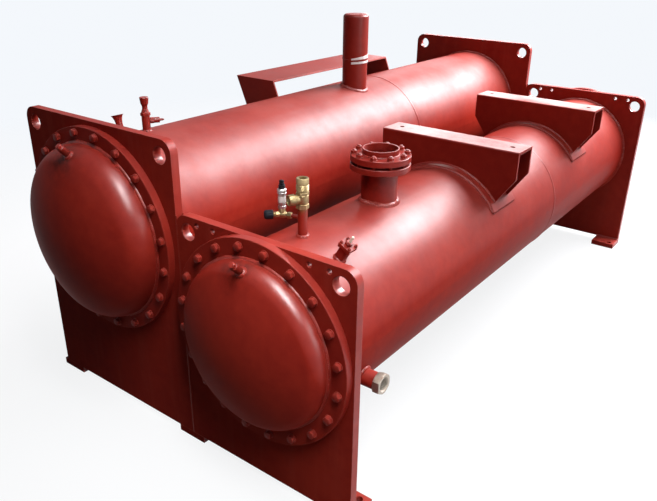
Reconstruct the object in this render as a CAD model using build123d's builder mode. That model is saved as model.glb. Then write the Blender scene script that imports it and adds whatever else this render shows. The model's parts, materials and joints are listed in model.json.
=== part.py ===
import math
import os
from build123d import *

os.makedirs("parts", exist_ok=True)

# Driving dimensions of the two vessels, in millimetres
overall_length = 3062.0
sheet_thickness = 32.0
sheet_corner_radius = 48.0
evaporator_sheet_width = 840.0
evaporator_sheet_height = 1173.0
evaporator_centre_height = 758.0
evaporator_shell_od = 652.0
condenser_sheet_width = 755.0
condenser_sheet_height = 927.0
condenser_centre_height = 564.5
condenser_shell_od = 609.0
shell_wall = 10.0
fit_gap = 0.3

# Driving dimensions of the bolted heads
head_flange_thickness = 30.0
head_straight = 8.0
head_wall = 10.0
head_bolt_count = 20
head_bolt_hole = 22.0
head_tapped_hole = 17.5
head_tapped_depth = 26.0
evaporator_flange_od = 796.0
evaporator_bolt_edge = 22.0
evaporator_dish_inset = 58.0
evaporator_dish_depth = 158.0
evaporator_knuckle = 100.0
condenser_flange_od = 740.0
condenser_bolt_edge = 28.0
condenser_dish_inset = 68.0
condenser_dish_depth = 108.0
condenser_knuckle = 60.0
vent_coupling_od = 26.0
vent_coupling_bore = 14.0
vent_coupling_reach = 44.0
evaporator_vent_angle = 48.2
condenser_vent_angle = 44.6

# Driving dimensions of the feet and lifting holes
foot_width = 135.0
foot_depth = 132.0
foot_thickness = 28.0
foot_overhang = 20.0
foot_hole = 26.0
foot_hole_edge = 35.0
foot_hole_from_face = 105.0
lifting_hole = 63.0
lifting_hole_edge = 57.5
rigging_hole = 19.0
rigging_hole_first = 101.0
rigging_hole_second = 176.0
rigging_hole_drop = 24.0

# Driving dimensions of the compressor saddles
saddle_length = 660.0
saddle_width = 143.0
saddle_plate = 12.0
saddle_rise = 121.0
saddle_web_drop = 119.0
saddle_pad_width = 214.0
saddle_pad_thickness = 10.0
saddle_pad_angle = 58.5
saddle_hole = 22.0
saddle_hole_edge = 58.0
front_saddle_from_face = 1287.0
rear_saddle_from_face = 2260.0

# Driving dimensions of the gas connections
discharge_from_face = 684.0
discharge_pipe_od = 139.7
discharge_pipe_bore = 126.0
discharge_flange_od = 230.0
discharge_flange_thickness = 23.0
discharge_flange_rise = 123.0
discharge_raised_face_od = 176.0
discharge_raised_face = 3.5
discharge_gasket_thickness = 3.0
discharge_bolt_circle = 200.0
discharge_bolt_count = 10
discharge_bolt_hole = 16.0
discharge_hub_od = 139.7
discharge_hub_height = 23.0
discharge_socket = 130.0
suction_from_face = 1556.0
suction_offset = 62.0
suction_pipe_od = 127.0
suction_pipe_wall = 6.0
suction_pipe_rise = 134.0
suction_cap_length = 220.0
suction_cap_round = 16.0

# Driving dimensions of the water and liquid connections
water_end_reach = 300.0
evaporator_water_od = 141.3
evaporator_water_wall = 6.6
evaporator_water_offset = 160.0
condenser_water_od = 114.3
condenser_water_wall = 6.0
condenser_water_offset = 140.0
water_groove_width = 9.5
water_groove_depth = 2.2
water_groove_from_end = 16.0
liquid_pipe_od = 76.1
liquid_pipe_wall = 5.0
liquid_pipe_reach = 90.0
liquid_from_face = 1531.0
liquid_socket = 70.1
liquid_socket_depth = 28.0

# Driving dimensions of the control bracket
bracket_from_face = 1175.0
bracket_length = 1040.0
bracket_plate = 8.0
bracket_rise = 46.0
bracket_top_left = -415.0
bracket_top_right = -168.0
bracket_foot_right = -138.0
bracket_foot_left = -305.0

# Driving dimensions of the small fittings
relief_from_face = 219.0
relief_stub_od = 33.4
relief_stub_bore = 24.0
relief_joint_rise = 99.0
relief_outlet_angle = 245.0
branch_drop = 33.0
branch_angle = 195.0
branch_length = 75.0
service_angle = 225.0
purge_from_face = 223.0
purge_angle = 30.0
drain_from_face = 186.0
drain_drop = 117.5
drain_stub_od = 60.3
drain_ring_start = 342.0
drain_ring_length = 27.0
charging_from_face = 260.0
charging_offset = -20.0
charging_port_angle = 60.0
flare_from_face = 190.0
flare_angle = -15.0

# Positions that follow from the driving dimensions
total_width = foot_overhang + evaporator_sheet_width + condenser_sheet_width
left_edge_x = foot_overhang - total_width / 2
junction_x = left_edge_x + evaporator_sheet_width
right_edge_x = junction_x + condenser_sheet_width
evaporator_x = left_edge_x + evaporator_sheet_width / 2
condenser_x = junction_x + condenser_sheet_width / 2
head_reach = head_flange_thickness + head_straight + evaporator_dish_depth
front_y = -(overall_length + water_end_reach + head_reach) / 2 + head_reach
rear_y = front_y + overall_length
floor_lift = foot_thickness
evaporator_z = floor_lift + evaporator_centre_height
condenser_z = floor_lift + condenser_centre_height
evaporator_shell_r = evaporator_shell_od / 2
condenser_shell_r = condenser_shell_od / 2
shell_front_y = front_y + sheet_thickness
shell_length = overall_length - 2 * sheet_thickness
stub_start = shell_wall + 4.0
evaporator_bolt_circle = evaporator_flange_od - 2 * evaporator_bolt_edge
condenser_bolt_circle = condenser_flange_od - 2 * condenser_bolt_edge
evaporator_dish_od = evaporator_flange_od - 2 * evaporator_dish_inset
condenser_dish_od = condenser_flange_od - 2 * condenser_dish_inset
evaporator_top_z = evaporator_z + evaporator_shell_r
condenser_top_z = condenser_z + condenser_shell_r


# Evaporator tube sheets with lifting holes and tapped head holes
evaporator_sheet_middle = floor_lift + evaporator_sheet_height / 2
evaporator_lifting_x = evaporator_sheet_width / 2 - lifting_hole_edge
evaporator_lifting_z = evaporator_sheet_height / 2 - lifting_hole_edge
with BuildPart() as evaporator_front_tube_sheet:
    with BuildSketch(Plane(origin=(evaporator_x, front_y, evaporator_sheet_middle),
                           x_dir=(1, 0, 0), z_dir=(0, -1, 0))):
        Rectangle(evaporator_sheet_width, evaporator_sheet_height)
        fillet(vertices().group_by(Axis.Y)[-1], radius=sheet_corner_radius)
        with Locations((-evaporator_lifting_x, evaporator_lifting_z),
                       (evaporator_lifting_x, evaporator_lifting_z)):
            Circle(lifting_hole / 2, mode=Mode.SUBTRACT)
    extrude(amount=-sheet_thickness)
    with BuildSketch(Plane(origin=(evaporator_x, front_y, evaporator_z),
                           x_dir=(1, 0, 0), z_dir=(0, -1, 0))):
        with PolarLocations(evaporator_bolt_circle / 2, head_bolt_count,
                            start_angle=180 / head_bolt_count):
            Circle(head_tapped_hole / 2)
    extrude(amount=-head_tapped_depth, mode=Mode.SUBTRACT)


evaporator_front_tube_sheet.part.label = "evaporator_front_tube_sheet"
export_step(evaporator_front_tube_sheet.part, "parts/evaporator_front_tube_sheet.step")

with BuildPart() as evaporator_rear_tube_sheet:
    with BuildSketch(Plane(origin=(evaporator_x, rear_y, evaporator_sheet_middle),
                           x_dir=(-1, 0, 0), z_dir=(0, 1, 0))):
        Rectangle(evaporator_sheet_width, evaporator_sheet_height)
        fillet(vertices().group_by(Axis.Y)[-1], radius=sheet_corner_radius)
        with Locations((-evaporator_lifting_x, evaporator_lifting_z),
                       (evaporator_lifting_x, evaporator_lifting_z)):
            Circle(lifting_hole / 2, mode=Mode.SUBTRACT)
    extrude(amount=-sheet_thickness)
    with BuildSketch(Plane(origin=(evaporator_x, rear_y, evaporator_z),
                           x_dir=(-1, 0, 0), z_dir=(0, 1, 0))):
        with PolarLocations(evaporator_bolt_circle / 2, head_bolt_count,
                            start_angle=180 / head_bolt_count):
            Circle(head_tapped_hole / 2)
    extrude(amount=-head_tapped_depth, mode=Mode.SUBTRACT)
evaporator_rear_tube_sheet.part.label = "evaporator_rear_tube_sheet"
export_step(evaporator_rear_tube_sheet.part, "parts/evaporator_rear_tube_sheet.step")

# Condenser tube sheets with lifting and rigging holes
condenser_sheet_middle = floor_lift + condenser_sheet_height / 2
condenser_lifting_x = condenser_sheet_width / 2 - lifting_hole_edge
condenser_lifting_z = condenser_sheet_height / 2 - lifting_hole_edge
condenser_rigging_z = condenser_sheet_height / 2 - rigging_hole_drop
rigging_first_x = condenser_sheet_width / 2 - rigging_hole_first
rigging_second_x = condenser_sheet_width / 2 - rigging_hole_second
with BuildPart() as condenser_front_tube_sheet:
    with BuildSketch(Plane(origin=(condenser_x, front_y, condenser_sheet_middle),
                           x_dir=(1, 0, 0), z_dir=(0, -1, 0))):
        Rectangle(condenser_sheet_width, condenser_sheet_height)
        fillet(vertices().group_by(Axis.Y)[-1], radius=sheet_corner_radius)
        with Locations((-condenser_lifting_x, condenser_lifting_z),
                       (condenser_lifting_x, condenser_lifting_z)):
            Circle(lifting_hole / 2, mode=Mode.SUBTRACT)
        with Locations((-rigging_first_x, condenser_rigging_z),
                       (rigging_first_x, condenser_rigging_z),
                       (-rigging_second_x, condenser_rigging_z),
                       (rigging_second_x, condenser_rigging_z)):
            Circle(rigging_hole / 2, mode=Mode.SUBTRACT)
    extrude(amount=-sheet_thickness)
    with BuildSketch(Plane(origin=(condenser_x, front_y, condenser_z),
                           x_dir=(1, 0, 0), z_dir=(0, -1, 0))):
        with PolarLocations(condenser_bolt_circle / 2, head_bolt_count,
                            start_angle=180 / head_bolt_count):
            Circle(head_tapped_hole / 2)
    extrude(amount=-head_tapped_depth, mode=Mode.SUBTRACT)
condenser_front_tube_sheet.part.label = "condenser_front_tube_sheet"
export_step(condenser_front_tube_sheet.part, "parts/condenser_front_tube_sheet.step")

with BuildPart() as condenser_rear_tube_sheet:
    with BuildSketch(Plane(origin=(condenser_x, rear_y, condenser_sheet_middle),
                           x_dir=(-1, 0, 0), z_dir=(0, 1, 0))):
        Rectangle(condenser_sheet_width, condenser_sheet_height)
        fillet(vertices().group_by(Axis.Y)[-1], radius=sheet_corner_radius)
        with Locations((-condenser_lifting_x, condenser_lifting_z),
                       (condenser_lifting_x, condenser_lifting_z)):
            Circle(lifting_hole / 2, mode=Mode.SUBTRACT)
        with Locations((-rigging_first_x, condenser_rigging_z),
                       (rigging_first_x, condenser_rigging_z),
                       (-rigging_second_x, condenser_rigging_z),
                       (rigging_second_x, condenser_rigging_z)):
            Circle(rigging_hole / 2, mode=Mode.SUBTRACT)
    extrude(amount=-sheet_thickness)
    with BuildSketch(Plane(origin=(condenser_x, rear_y, condenser_z),
                           x_dir=(-1, 0, 0), z_dir=(0, 1, 0))):
        with PolarLocations(condenser_bolt_circle / 2, head_bolt_count,
                            start_angle=180 / head_bolt_count):
            Circle(head_tapped_hole / 2)
    extrude(amount=-head_tapped_depth, mode=Mode.SUBTRACT)
condenser_rear_tube_sheet.part.label = "condenser_rear_tube_sheet"
export_step(condenser_rear_tube_sheet.part, "parts/condenser_rear_tube_sheet.step")

# Evaporator shell with its openings
flare_direction = (math.sin(math.radians(flare_angle)), 0, math.cos(math.radians(flare_angle)))
with BuildPart() as evaporator_shell:
    with BuildSketch(Plane(origin=(evaporator_x, shell_front_y, evaporator_z),
                           x_dir=(1, 0, 0), z_dir=(0, -1, 0))):
        Circle(evaporator_shell_r)
        Circle(evaporator_shell_r - shell_wall, mode=Mode.SUBTRACT)
    extrude(amount=-shell_length)
    with BuildSketch(Plane.XY.offset(evaporator_z)):
        with Locations((evaporator_x + suction_offset, front_y + suction_from_face)):
            Circle(suction_pipe_od / 2 + fit_gap)
        with Locations((evaporator_x + charging_offset, front_y + charging_from_face)):
            Circle(12.5 + fit_gap)
    extrude(amount=evaporator_shell_r + 10, mode=Mode.SUBTRACT)
    with BuildSketch(Plane.XY.offset(evaporator_z)):
        with Locations((evaporator_x, front_y + liquid_from_face)):
            Circle(liquid_pipe_od / 2 + fit_gap)
    extrude(amount=-evaporator_shell_r - 10, mode=Mode.SUBTRACT)
    with BuildSketch(Plane(origin=(evaporator_x, front_y + flare_from_face, evaporator_z),
                           x_dir=(0, 1, 0), z_dir=flare_direction)):
        Circle(13.0 + fit_gap)
    extrude(amount=evaporator_shell_r + 10, mode=Mode.SUBTRACT)
evaporator_shell.part.label = "evaporator_shell"
export_step(evaporator_shell.part, "parts/evaporator_shell.step")

# Condenser shell with its openings
purge_direction = (math.sin(math.radians(purge_angle)), 0, math.cos(math.radians(purge_angle)))
with BuildPart() as condenser_shell:
    with BuildSketch(Plane(origin=(condenser_x, shell_front_y, condenser_z),
                           x_dir=(1, 0, 0), z_dir=(0, -1, 0))):
        Circle(condenser_shell_r)
        Circle(condenser_shell_r - shell_wall, mode=Mode.SUBTRACT)
    extrude(amount=-shell_length)
    with BuildSketch(Plane.XY.offset(condenser_z)):
        with Locations((condenser_x, front_y + discharge_from_face)):
            Circle(discharge_pipe_od / 2 + fit_gap)
        with Locations((condenser_x, front_y + relief_from_face)):
            Circle(relief_stub_od / 2 + fit_gap)
    extrude(amount=condenser_shell_r + 10, mode=Mode.SUBTRACT)
    with BuildSketch(Plane.XY.offset(condenser_z)):
        with Locations((condenser_x, front_y + liquid_from_face)):
            Circle(liquid_pipe_od / 2 + fit_gap)
    extrude(amount=-condenser_shell_r - 10, mode=Mode.SUBTRACT)
    with BuildSketch(Plane(origin=(condenser_x, front_y + purge_from_face, condenser_z),
                           x_dir=(0, 1, 0), z_dir=purge_direction)):
        Circle(16.0 + fit_gap)
    extrude(amount=condenser_shell_r + 10, mode=Mode.SUBTRACT)
    with BuildSketch(Plane(origin=(condenser_x, front_y + drain_from_face,
                                   condenser_z - drain_drop),
                           x_dir=(0, 1, 0), z_dir=(1, 0, 0))):
        Circle(drain_stub_od / 2 + fit_gap)
    extrude(amount=condenser_shell_r + 10, mode=Mode.SUBTRACT)
condenser_shell.part.label = "condenser_shell"
export_step(condenser_shell.part, "parts/condenser_shell.step")

# Evaporator front head, a bolted ring with a dished wall and a vent coupling
evaporator_dish_r = evaporator_dish_od / 2
evaporator_dish_start = head_flange_thickness + head_straight
evaporator_knuckle_x = evaporator_dish_r - evaporator_knuckle
evaporator_crown = evaporator_knuckle_x ** 2 + evaporator_dish_depth ** 2 - evaporator_knuckle ** 2
evaporator_crown = evaporator_crown / (2 * (evaporator_dish_depth - evaporator_knuckle))
evaporator_crown_y = evaporator_dish_start + evaporator_dish_depth - evaporator_crown
evaporator_turn = math.degrees(math.atan2(evaporator_knuckle_x,
                                          evaporator_dish_start - evaporator_crown_y))
vent_sin = math.sin(math.radians(evaporator_vent_angle))
vent_cos = math.cos(math.radians(evaporator_vent_angle))
evaporator_vent_root_z = evaporator_knuckle_x + evaporator_knuckle * vent_sin
evaporator_vent_root_y = evaporator_knuckle * vent_cos
with BuildPart() as evaporator_front_head:
    with BuildSketch(Plane(origin=(evaporator_x, front_y, evaporator_z),
                           x_dir=(0, 0, 1), z_dir=(1, 0, 0))):
        with BuildLine():
            Line((evaporator_dish_r - head_wall, 0), (evaporator_dish_r, 0))
            Line((evaporator_dish_r, 0), (evaporator_dish_r, evaporator_dish_start))
            CenterArc((evaporator_knuckle_x, evaporator_dish_start), evaporator_knuckle,
                      0, 90 - evaporator_turn)
            CenterArc((0, evaporator_crown_y), evaporator_crown, 90 - evaporator_turn, evaporator_turn)
            Line((0, evaporator_crown_y + evaporator_crown),
                 (0, evaporator_crown_y + evaporator_crown - head_wall))
            CenterArc((0, evaporator_crown_y), evaporator_crown - head_wall, 90, -evaporator_turn)
            CenterArc((evaporator_knuckle_x, evaporator_dish_start), evaporator_knuckle - head_wall,
                      90 - evaporator_turn, evaporator_turn - 90)
            Line((evaporator_dish_r - head_wall, evaporator_dish_start),
                 (evaporator_dish_r - head_wall, 0))
        make_face()
    revolve(axis=Axis((evaporator_x, front_y, evaporator_z), (0, -1, 0)))
    with BuildSketch(Plane(origin=(evaporator_x, front_y, evaporator_z),
                           x_dir=(1, 0, 0), z_dir=(0, -1, 0))):
        Circle(evaporator_flange_od / 2)
        Circle(evaporator_dish_r - head_wall, mode=Mode.SUBTRACT)
    extrude(amount=head_flange_thickness)
    with BuildSketch(Plane(origin=(evaporator_x, front_y, evaporator_z),
                           x_dir=(1, 0, 0), z_dir=(0, -1, 0))):
        with PolarLocations(evaporator_bolt_circle / 2, head_bolt_count,
                            start_angle=180 / head_bolt_count):
            Circle(head_bolt_hole / 2)
    extrude(amount=head_flange_thickness, mode=Mode.SUBTRACT)
    with BuildSketch(Plane(origin=(evaporator_x,
                                   front_y - evaporator_dish_start - evaporator_vent_root_y
                                   + 5 * vent_cos,
                                   evaporator_z + evaporator_vent_root_z - 5 * vent_sin),
                           x_dir=(1, 0, 0), z_dir=(0, -vent_cos, vent_sin))):
        Circle(vent_coupling_od / 2)
    extrude(amount=vent_coupling_reach + 5)
    with BuildSketch(Plane(origin=(evaporator_x,
                                   front_y - evaporator_dish_start - evaporator_vent_root_y
                                   - vent_coupling_reach * vent_cos,
                                   evaporator_z + evaporator_vent_root_z
                                   + vent_coupling_reach * vent_sin),
                           x_dir=(1, 0, 0), z_dir=(0, -vent_cos, vent_sin))):
        Circle(vent_coupling_bore / 2)
    extrude(amount=-(vent_coupling_reach + 25), mode=Mode.SUBTRACT)
evaporator_front_head.part.label = "evaporator_front_head"
export_step(evaporator_front_head.part, "parts/evaporator_front_head.step")

# Evaporator rear head, with two openings for the water pipes
with BuildPart() as evaporator_rear_head:
    with BuildSketch(Plane(origin=(evaporator_x, rear_y, evaporator_z),
                           x_dir=(0, 0, 1), z_dir=(-1, 0, 0))):
        with BuildLine():
            Line((evaporator_dish_r - head_wall, 0), (evaporator_dish_r, 0))
            Line((evaporator_dish_r, 0), (evaporator_dish_r, evaporator_dish_start))
            CenterArc((evaporator_knuckle_x, evaporator_dish_start), evaporator_knuckle,
                      0, 90 - evaporator_turn)
            CenterArc((0, evaporator_crown_y), evaporator_crown, 90 - evaporator_turn, evaporator_turn)
            Line((0, evaporator_crown_y + evaporator_crown),
                 (0, evaporator_crown_y + evaporator_crown - head_wall))
            CenterArc((0, evaporator_crown_y), evaporator_crown - head_wall, 90, -evaporator_turn)
            CenterArc((evaporator_knuckle_x, evaporator_dish_start), evaporator_knuckle - head_wall,
                      90 - evaporator_turn, evaporator_turn - 90)
            Line((evaporator_dish_r - head_wall, evaporator_dish_start),
                 (evaporator_dish_r - head_wall, 0))
        make_face()
    revolve(axis=Axis((evaporator_x, rear_y, evaporator_z), (0, 1, 0)))
    with BuildSketch(Plane(origin=(evaporator_x, rear_y, evaporator_z),
                           x_dir=(-1, 0, 0), z_dir=(0, 1, 0))):
        Circle(evaporator_flange_od / 2)
        Circle(evaporator_dish_r - head_wall, mode=Mode.SUBTRACT)
    extrude(amount=head_flange_thickness)
    with BuildSketch(Plane(origin=(evaporator_x, rear_y, evaporator_z),
                           x_dir=(-1, 0, 0), z_dir=(0, 1, 0))):
        with PolarLocations(evaporator_bolt_circle / 2, head_bolt_count,
                            start_angle=180 / head_bolt_count):
            Circle(head_bolt_hole / 2)
    extrude(amount=head_flange_thickness, mode=Mode.SUBTRACT)
    with BuildSketch(Plane(origin=(evaporator_x, rear_y, evaporator_z),
                           x_dir=(-1, 0, 0), z_dir=(0, 1, 0))):
        with Locations((0, evaporator_water_offset), (0, -evaporator_water_offset)):
            Circle(evaporator_water_od / 2 + fit_gap)
    extrude(amount=water_end_reach, mode=Mode.SUBTRACT)
evaporator_rear_head.part.label = "evaporator_rear_head"
export_step(evaporator_rear_head.part, "parts/evaporator_rear_head.step")

# Condenser front head
condenser_dish_r = condenser_dish_od / 2
condenser_dish_start = head_flange_thickness + head_straight
condenser_knuckle_x = condenser_dish_r - condenser_knuckle
condenser_crown = condenser_knuckle_x ** 2 + condenser_dish_depth ** 2 - condenser_knuckle ** 2
condenser_crown = condenser_crown / (2 * (condenser_dish_depth - condenser_knuckle))
condenser_crown_y = condenser_dish_start + condenser_dish_depth - condenser_crown
condenser_turn = math.degrees(math.atan2(condenser_knuckle_x,
                                         condenser_dish_start - condenser_crown_y))
condenser_vent_sin = math.sin(math.radians(condenser_vent_angle))
condenser_vent_cos = math.cos(math.radians(condenser_vent_angle))
condenser_vent_root_z = condenser_knuckle_x + condenser_knuckle * condenser_vent_sin
condenser_vent_root_y = condenser_knuckle * condenser_vent_cos
with BuildPart() as condenser_front_head:
    with BuildSketch(Plane(origin=(condenser_x, front_y, condenser_z),
                           x_dir=(0, 0, 1), z_dir=(1, 0, 0))):
        with BuildLine():
            Line((condenser_dish_r - head_wall, 0), (condenser_dish_r, 0))
            Line((condenser_dish_r, 0), (condenser_dish_r, condenser_dish_start))
            CenterArc((condenser_knuckle_x, condenser_dish_start), condenser_knuckle,
                      0, 90 - condenser_turn)
            CenterArc((0, condenser_crown_y), condenser_crown, 90 - condenser_turn, condenser_turn)
            Line((0, condenser_crown_y + condenser_crown),
                 (0, condenser_crown_y + condenser_crown - head_wall))
            CenterArc((0, condenser_crown_y), condenser_crown - head_wall, 90, -condenser_turn)
            CenterArc((condenser_knuckle_x, condenser_dish_start), condenser_knuckle - head_wall,
                      90 - condenser_turn, condenser_turn - 90)
            Line((condenser_dish_r - head_wall, condenser_dish_start),
                 (condenser_dish_r - head_wall, 0))
        make_face()
    revolve(axis=Axis((condenser_x, front_y, condenser_z), (0, -1, 0)))
    with BuildSketch(Plane(origin=(condenser_x, front_y, condenser_z),
                           x_dir=(1, 0, 0), z_dir=(0, -1, 0))):
        Circle(condenser_flange_od / 2)
        Circle(condenser_dish_r - head_wall, mode=Mode.SUBTRACT)
    extrude(amount=head_flange_thickness)
    with BuildSketch(Plane(origin=(condenser_x, front_y, condenser_z),
                           x_dir=(1, 0, 0), z_dir=(0, -1, 0))):
        with PolarLocations(condenser_bolt_circle / 2, head_bolt_count,
                            start_angle=180 / head_bolt_count):
            Circle(head_bolt_hole / 2)
    extrude(amount=head_flange_thickness, mode=Mode.SUBTRACT)
    with BuildSketch(Plane(origin=(condenser_x,
                                   front_y - condenser_dish_start - condenser_vent_root_y
                                   + 5 * condenser_vent_cos,
                                   condenser_z + condenser_vent_root_z - 5 * condenser_vent_sin),
                           x_dir=(1, 0, 0), z_dir=(0, -condenser_vent_cos, condenser_vent_sin))):
        Circle(vent_coupling_od / 2)
    extrude(amount=vent_coupling_reach + 5)
    with BuildSketch(Plane(origin=(condenser_x,
                                   front_y - condenser_dish_start - condenser_vent_root_y
                                   - vent_coupling_reach * condenser_vent_cos,
                                   condenser_z + condenser_vent_root_z
                                   + vent_coupling_reach * condenser_vent_sin),
                           x_dir=(1, 0, 0), z_dir=(0, -condenser_vent_cos, condenser_vent_sin))):
        Circle(vent_coupling_bore / 2)
    extrude(amount=-(vent_coupling_reach + 25), mode=Mode.SUBTRACT)
condenser_front_head.part.label = "condenser_front_head"
export_step(condenser_front_head.part, "parts/condenser_front_head.step")

# Condenser rear head, with two openings for the water pipes
with BuildPart() as condenser_rear_head:
    with BuildSketch(Plane(origin=(condenser_x, rear_y, condenser_z),
                           x_dir=(0, 0, 1), z_dir=(-1, 0, 0))):
        with BuildLine():
            Line((condenser_dish_r - head_wall, 0), (condenser_dish_r, 0))
            Line((condenser_dish_r, 0), (condenser_dish_r, condenser_dish_start))
            CenterArc((condenser_knuckle_x, condenser_dish_start), condenser_knuckle,
                      0, 90 - condenser_turn)
            CenterArc((0, condenser_crown_y), condenser_crown, 90 - condenser_turn, condenser_turn)
            Line((0, condenser_crown_y + condenser_crown),
                 (0, condenser_crown_y + condenser_crown - head_wall))
            CenterArc((0, condenser_crown_y), condenser_crown - head_wall, 90, -condenser_turn)
            CenterArc((condenser_knuckle_x, condenser_dish_start), condenser_knuckle - head_wall,
                      90 - condenser_turn, condenser_turn - 90)
            Line((condenser_dish_r - head_wall, condenser_dish_start),
                 (condenser_dish_r - head_wall, 0))
        make_face()
    revolve(axis=Axis((condenser_x, rear_y, condenser_z), (0, 1, 0)))
    with BuildSketch(Plane(origin=(condenser_x, rear_y, condenser_z),
                           x_dir=(-1, 0, 0), z_dir=(0, 1, 0))):
        Circle(condenser_flange_od / 2)
        Circle(condenser_dish_r - head_wall, mode=Mode.SUBTRACT)
    extrude(amount=head_flange_thickness)
    with BuildSketch(Plane(origin=(condenser_x, rear_y, condenser_z),
                           x_dir=(-1, 0, 0), z_dir=(0, 1, 0))):
        with PolarLocations(condenser_bolt_circle / 2, head_bolt_count,
                            start_angle=180 / head_bolt_count):
            Circle(head_bolt_hole / 2)
    extrude(amount=head_flange_thickness, mode=Mode.SUBTRACT)
    with BuildSketch(Plane(origin=(condenser_x, rear_y, condenser_z),
                           x_dir=(-1, 0, 0), z_dir=(0, 1, 0))):
        with Locations((0, condenser_water_offset), (0, -condenser_water_offset)):
            Circle(condenser_water_od / 2 + fit_gap)
    extrude(amount=water_end_reach, mode=Mode.SUBTRACT)
condenser_rear_head.part.label = "condenser_rear_head"
export_step(condenser_rear_head.part, "parts/condenser_rear_head.step")

# Evaporator water pipes, grooved for couplings
evaporator_water_r = evaporator_water_od / 2
evaporator_water_start = evaporator_dish_start + evaporator_dish_depth * 0.6
with BuildPart() as evaporator_water_outlet:
    with BuildSketch(Plane(origin=(evaporator_x, rear_y + water_end_reach,
                                   evaporator_z + evaporator_water_offset),
                           x_dir=(-1, 0, 0), z_dir=(0, 1, 0))):
        Circle(evaporator_water_r)
        Circle(evaporator_water_r - evaporator_water_wall, mode=Mode.SUBTRACT)
    extrude(amount=-(water_end_reach - evaporator_water_start))
    with BuildSketch(Plane(origin=(evaporator_x,
                                   rear_y + water_end_reach - water_groove_from_end,
                                   evaporator_z + evaporator_water_offset),
                           x_dir=(-1, 0, 0), z_dir=(0, 1, 0))):
        Circle(evaporator_water_r + 1)
        Circle(evaporator_water_r - water_groove_depth, mode=Mode.SUBTRACT)
    extrude(amount=-water_groove_width, mode=Mode.SUBTRACT)
evaporator_water_outlet.part.label = "evaporator_water_outlet"
export_step(evaporator_water_outlet.part, "parts/evaporator_water_outlet.step")

with BuildPart() as evaporator_water_inlet:
    with BuildSketch(Plane(origin=(evaporator_x, rear_y + water_end_reach,
                                   evaporator_z - evaporator_water_offset),
                           x_dir=(-1, 0, 0), z_dir=(0, 1, 0))):
        Circle(evaporator_water_r)
        Circle(evaporator_water_r - evaporator_water_wall, mode=Mode.SUBTRACT)
    extrude(amount=-(water_end_reach - evaporator_water_start))
    with BuildSketch(Plane(origin=(evaporator_x,
                                   rear_y + water_end_reach - water_groove_from_end,
                                   evaporator_z - evaporator_water_offset),
                           x_dir=(-1, 0, 0), z_dir=(0, 1, 0))):
        Circle(evaporator_water_r + 1)
        Circle(evaporator_water_r - water_groove_depth, mode=Mode.SUBTRACT)
    extrude(amount=-water_groove_width, mode=Mode.SUBTRACT)
evaporator_water_inlet.part.label = "evaporator_water_inlet"
export_step(evaporator_water_inlet.part, "parts/evaporator_water_inlet.step")

# Condenser water pipes, grooved for couplings
condenser_water_r = condenser_water_od / 2
condenser_water_start = condenser_dish_start + condenser_dish_depth * 0.5
with BuildPart() as condenser_water_outlet:
    with BuildSketch(Plane(origin=(condenser_x, rear_y + water_end_reach,
                                   condenser_z + condenser_water_offset),
                           x_dir=(-1, 0, 0), z_dir=(0, 1, 0))):
        Circle(condenser_water_r)
        Circle(condenser_water_r - condenser_water_wall, mode=Mode.SUBTRACT)
    extrude(amount=-(water_end_reach - condenser_water_start))
    with BuildSketch(Plane(origin=(condenser_x,
                                   rear_y + water_end_reach - water_groove_from_end,
                                   condenser_z + condenser_water_offset),
                           x_dir=(-1, 0, 0), z_dir=(0, 1, 0))):
        Circle(condenser_water_r + 1)
        Circle(condenser_water_r - water_groove_depth, mode=Mode.SUBTRACT)
    extrude(amount=-water_groove_width, mode=Mode.SUBTRACT)
condenser_water_outlet.part.label = "condenser_water_outlet"
export_step(condenser_water_outlet.part, "parts/condenser_water_outlet.step")

with BuildPart() as condenser_water_inlet:
    with BuildSketch(Plane(origin=(condenser_x, rear_y + water_end_reach,
                                   condenser_z - condenser_water_offset),
                           x_dir=(-1, 0, 0), z_dir=(0, 1, 0))):
        Circle(condenser_water_r)
        Circle(condenser_water_r - condenser_water_wall, mode=Mode.SUBTRACT)
    extrude(amount=-(water_end_reach - condenser_water_start))
    with BuildSketch(Plane(origin=(condenser_x,
                                   rear_y + water_end_reach - water_groove_from_end,
                                   condenser_z - condenser_water_offset),
                           x_dir=(-1, 0, 0), z_dir=(0, 1, 0))):
        Circle(condenser_water_r + 1)
        Circle(condenser_water_r - water_groove_depth, mode=Mode.SUBTRACT)
    extrude(amount=-water_groove_width, mode=Mode.SUBTRACT)
condenser_water_inlet.part.label = "condenser_water_inlet"
export_step(condenser_water_inlet.part, "parts/condenser_water_inlet.step")

# Feet under the tube sheets
left_foot_x = left_edge_x - foot_overhang + foot_width / 2
middle_foot_x = junction_x - 12.0
right_foot_x = right_edge_x - foot_width / 2
outer_hole_shift = foot_width / 2 - foot_hole_edge
front_foot_y = front_y + foot_depth / 2
rear_foot_y = rear_y - foot_depth / 2
foot_hole_shift = foot_hole_from_face - foot_depth / 2
with BuildPart() as foot_front_left:
    with BuildSketch(Plane.XY):
        with Locations((left_foot_x, front_foot_y)):
            Rectangle(foot_width, foot_depth)
        with Locations((left_foot_x - outer_hole_shift, front_foot_y + foot_hole_shift)):
            Circle(foot_hole / 2, mode=Mode.SUBTRACT)
    extrude(amount=foot_thickness)
foot_front_left.part.label = "foot_front_left"
export_step(foot_front_left.part, "parts/foot_front_left.step")

with BuildPart() as foot_front_middle:
    with BuildSketch(Plane.XY):
        with Locations((middle_foot_x, front_foot_y)):
            Rectangle(foot_width, foot_depth)
        with Locations((middle_foot_x, front_foot_y + foot_hole_shift)):
            Circle(foot_hole / 2, mode=Mode.SUBTRACT)
    extrude(amount=foot_thickness)
foot_front_middle.part.label = "foot_front_middle"
export_step(foot_front_middle.part, "parts/foot_front_middle.step")

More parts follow.
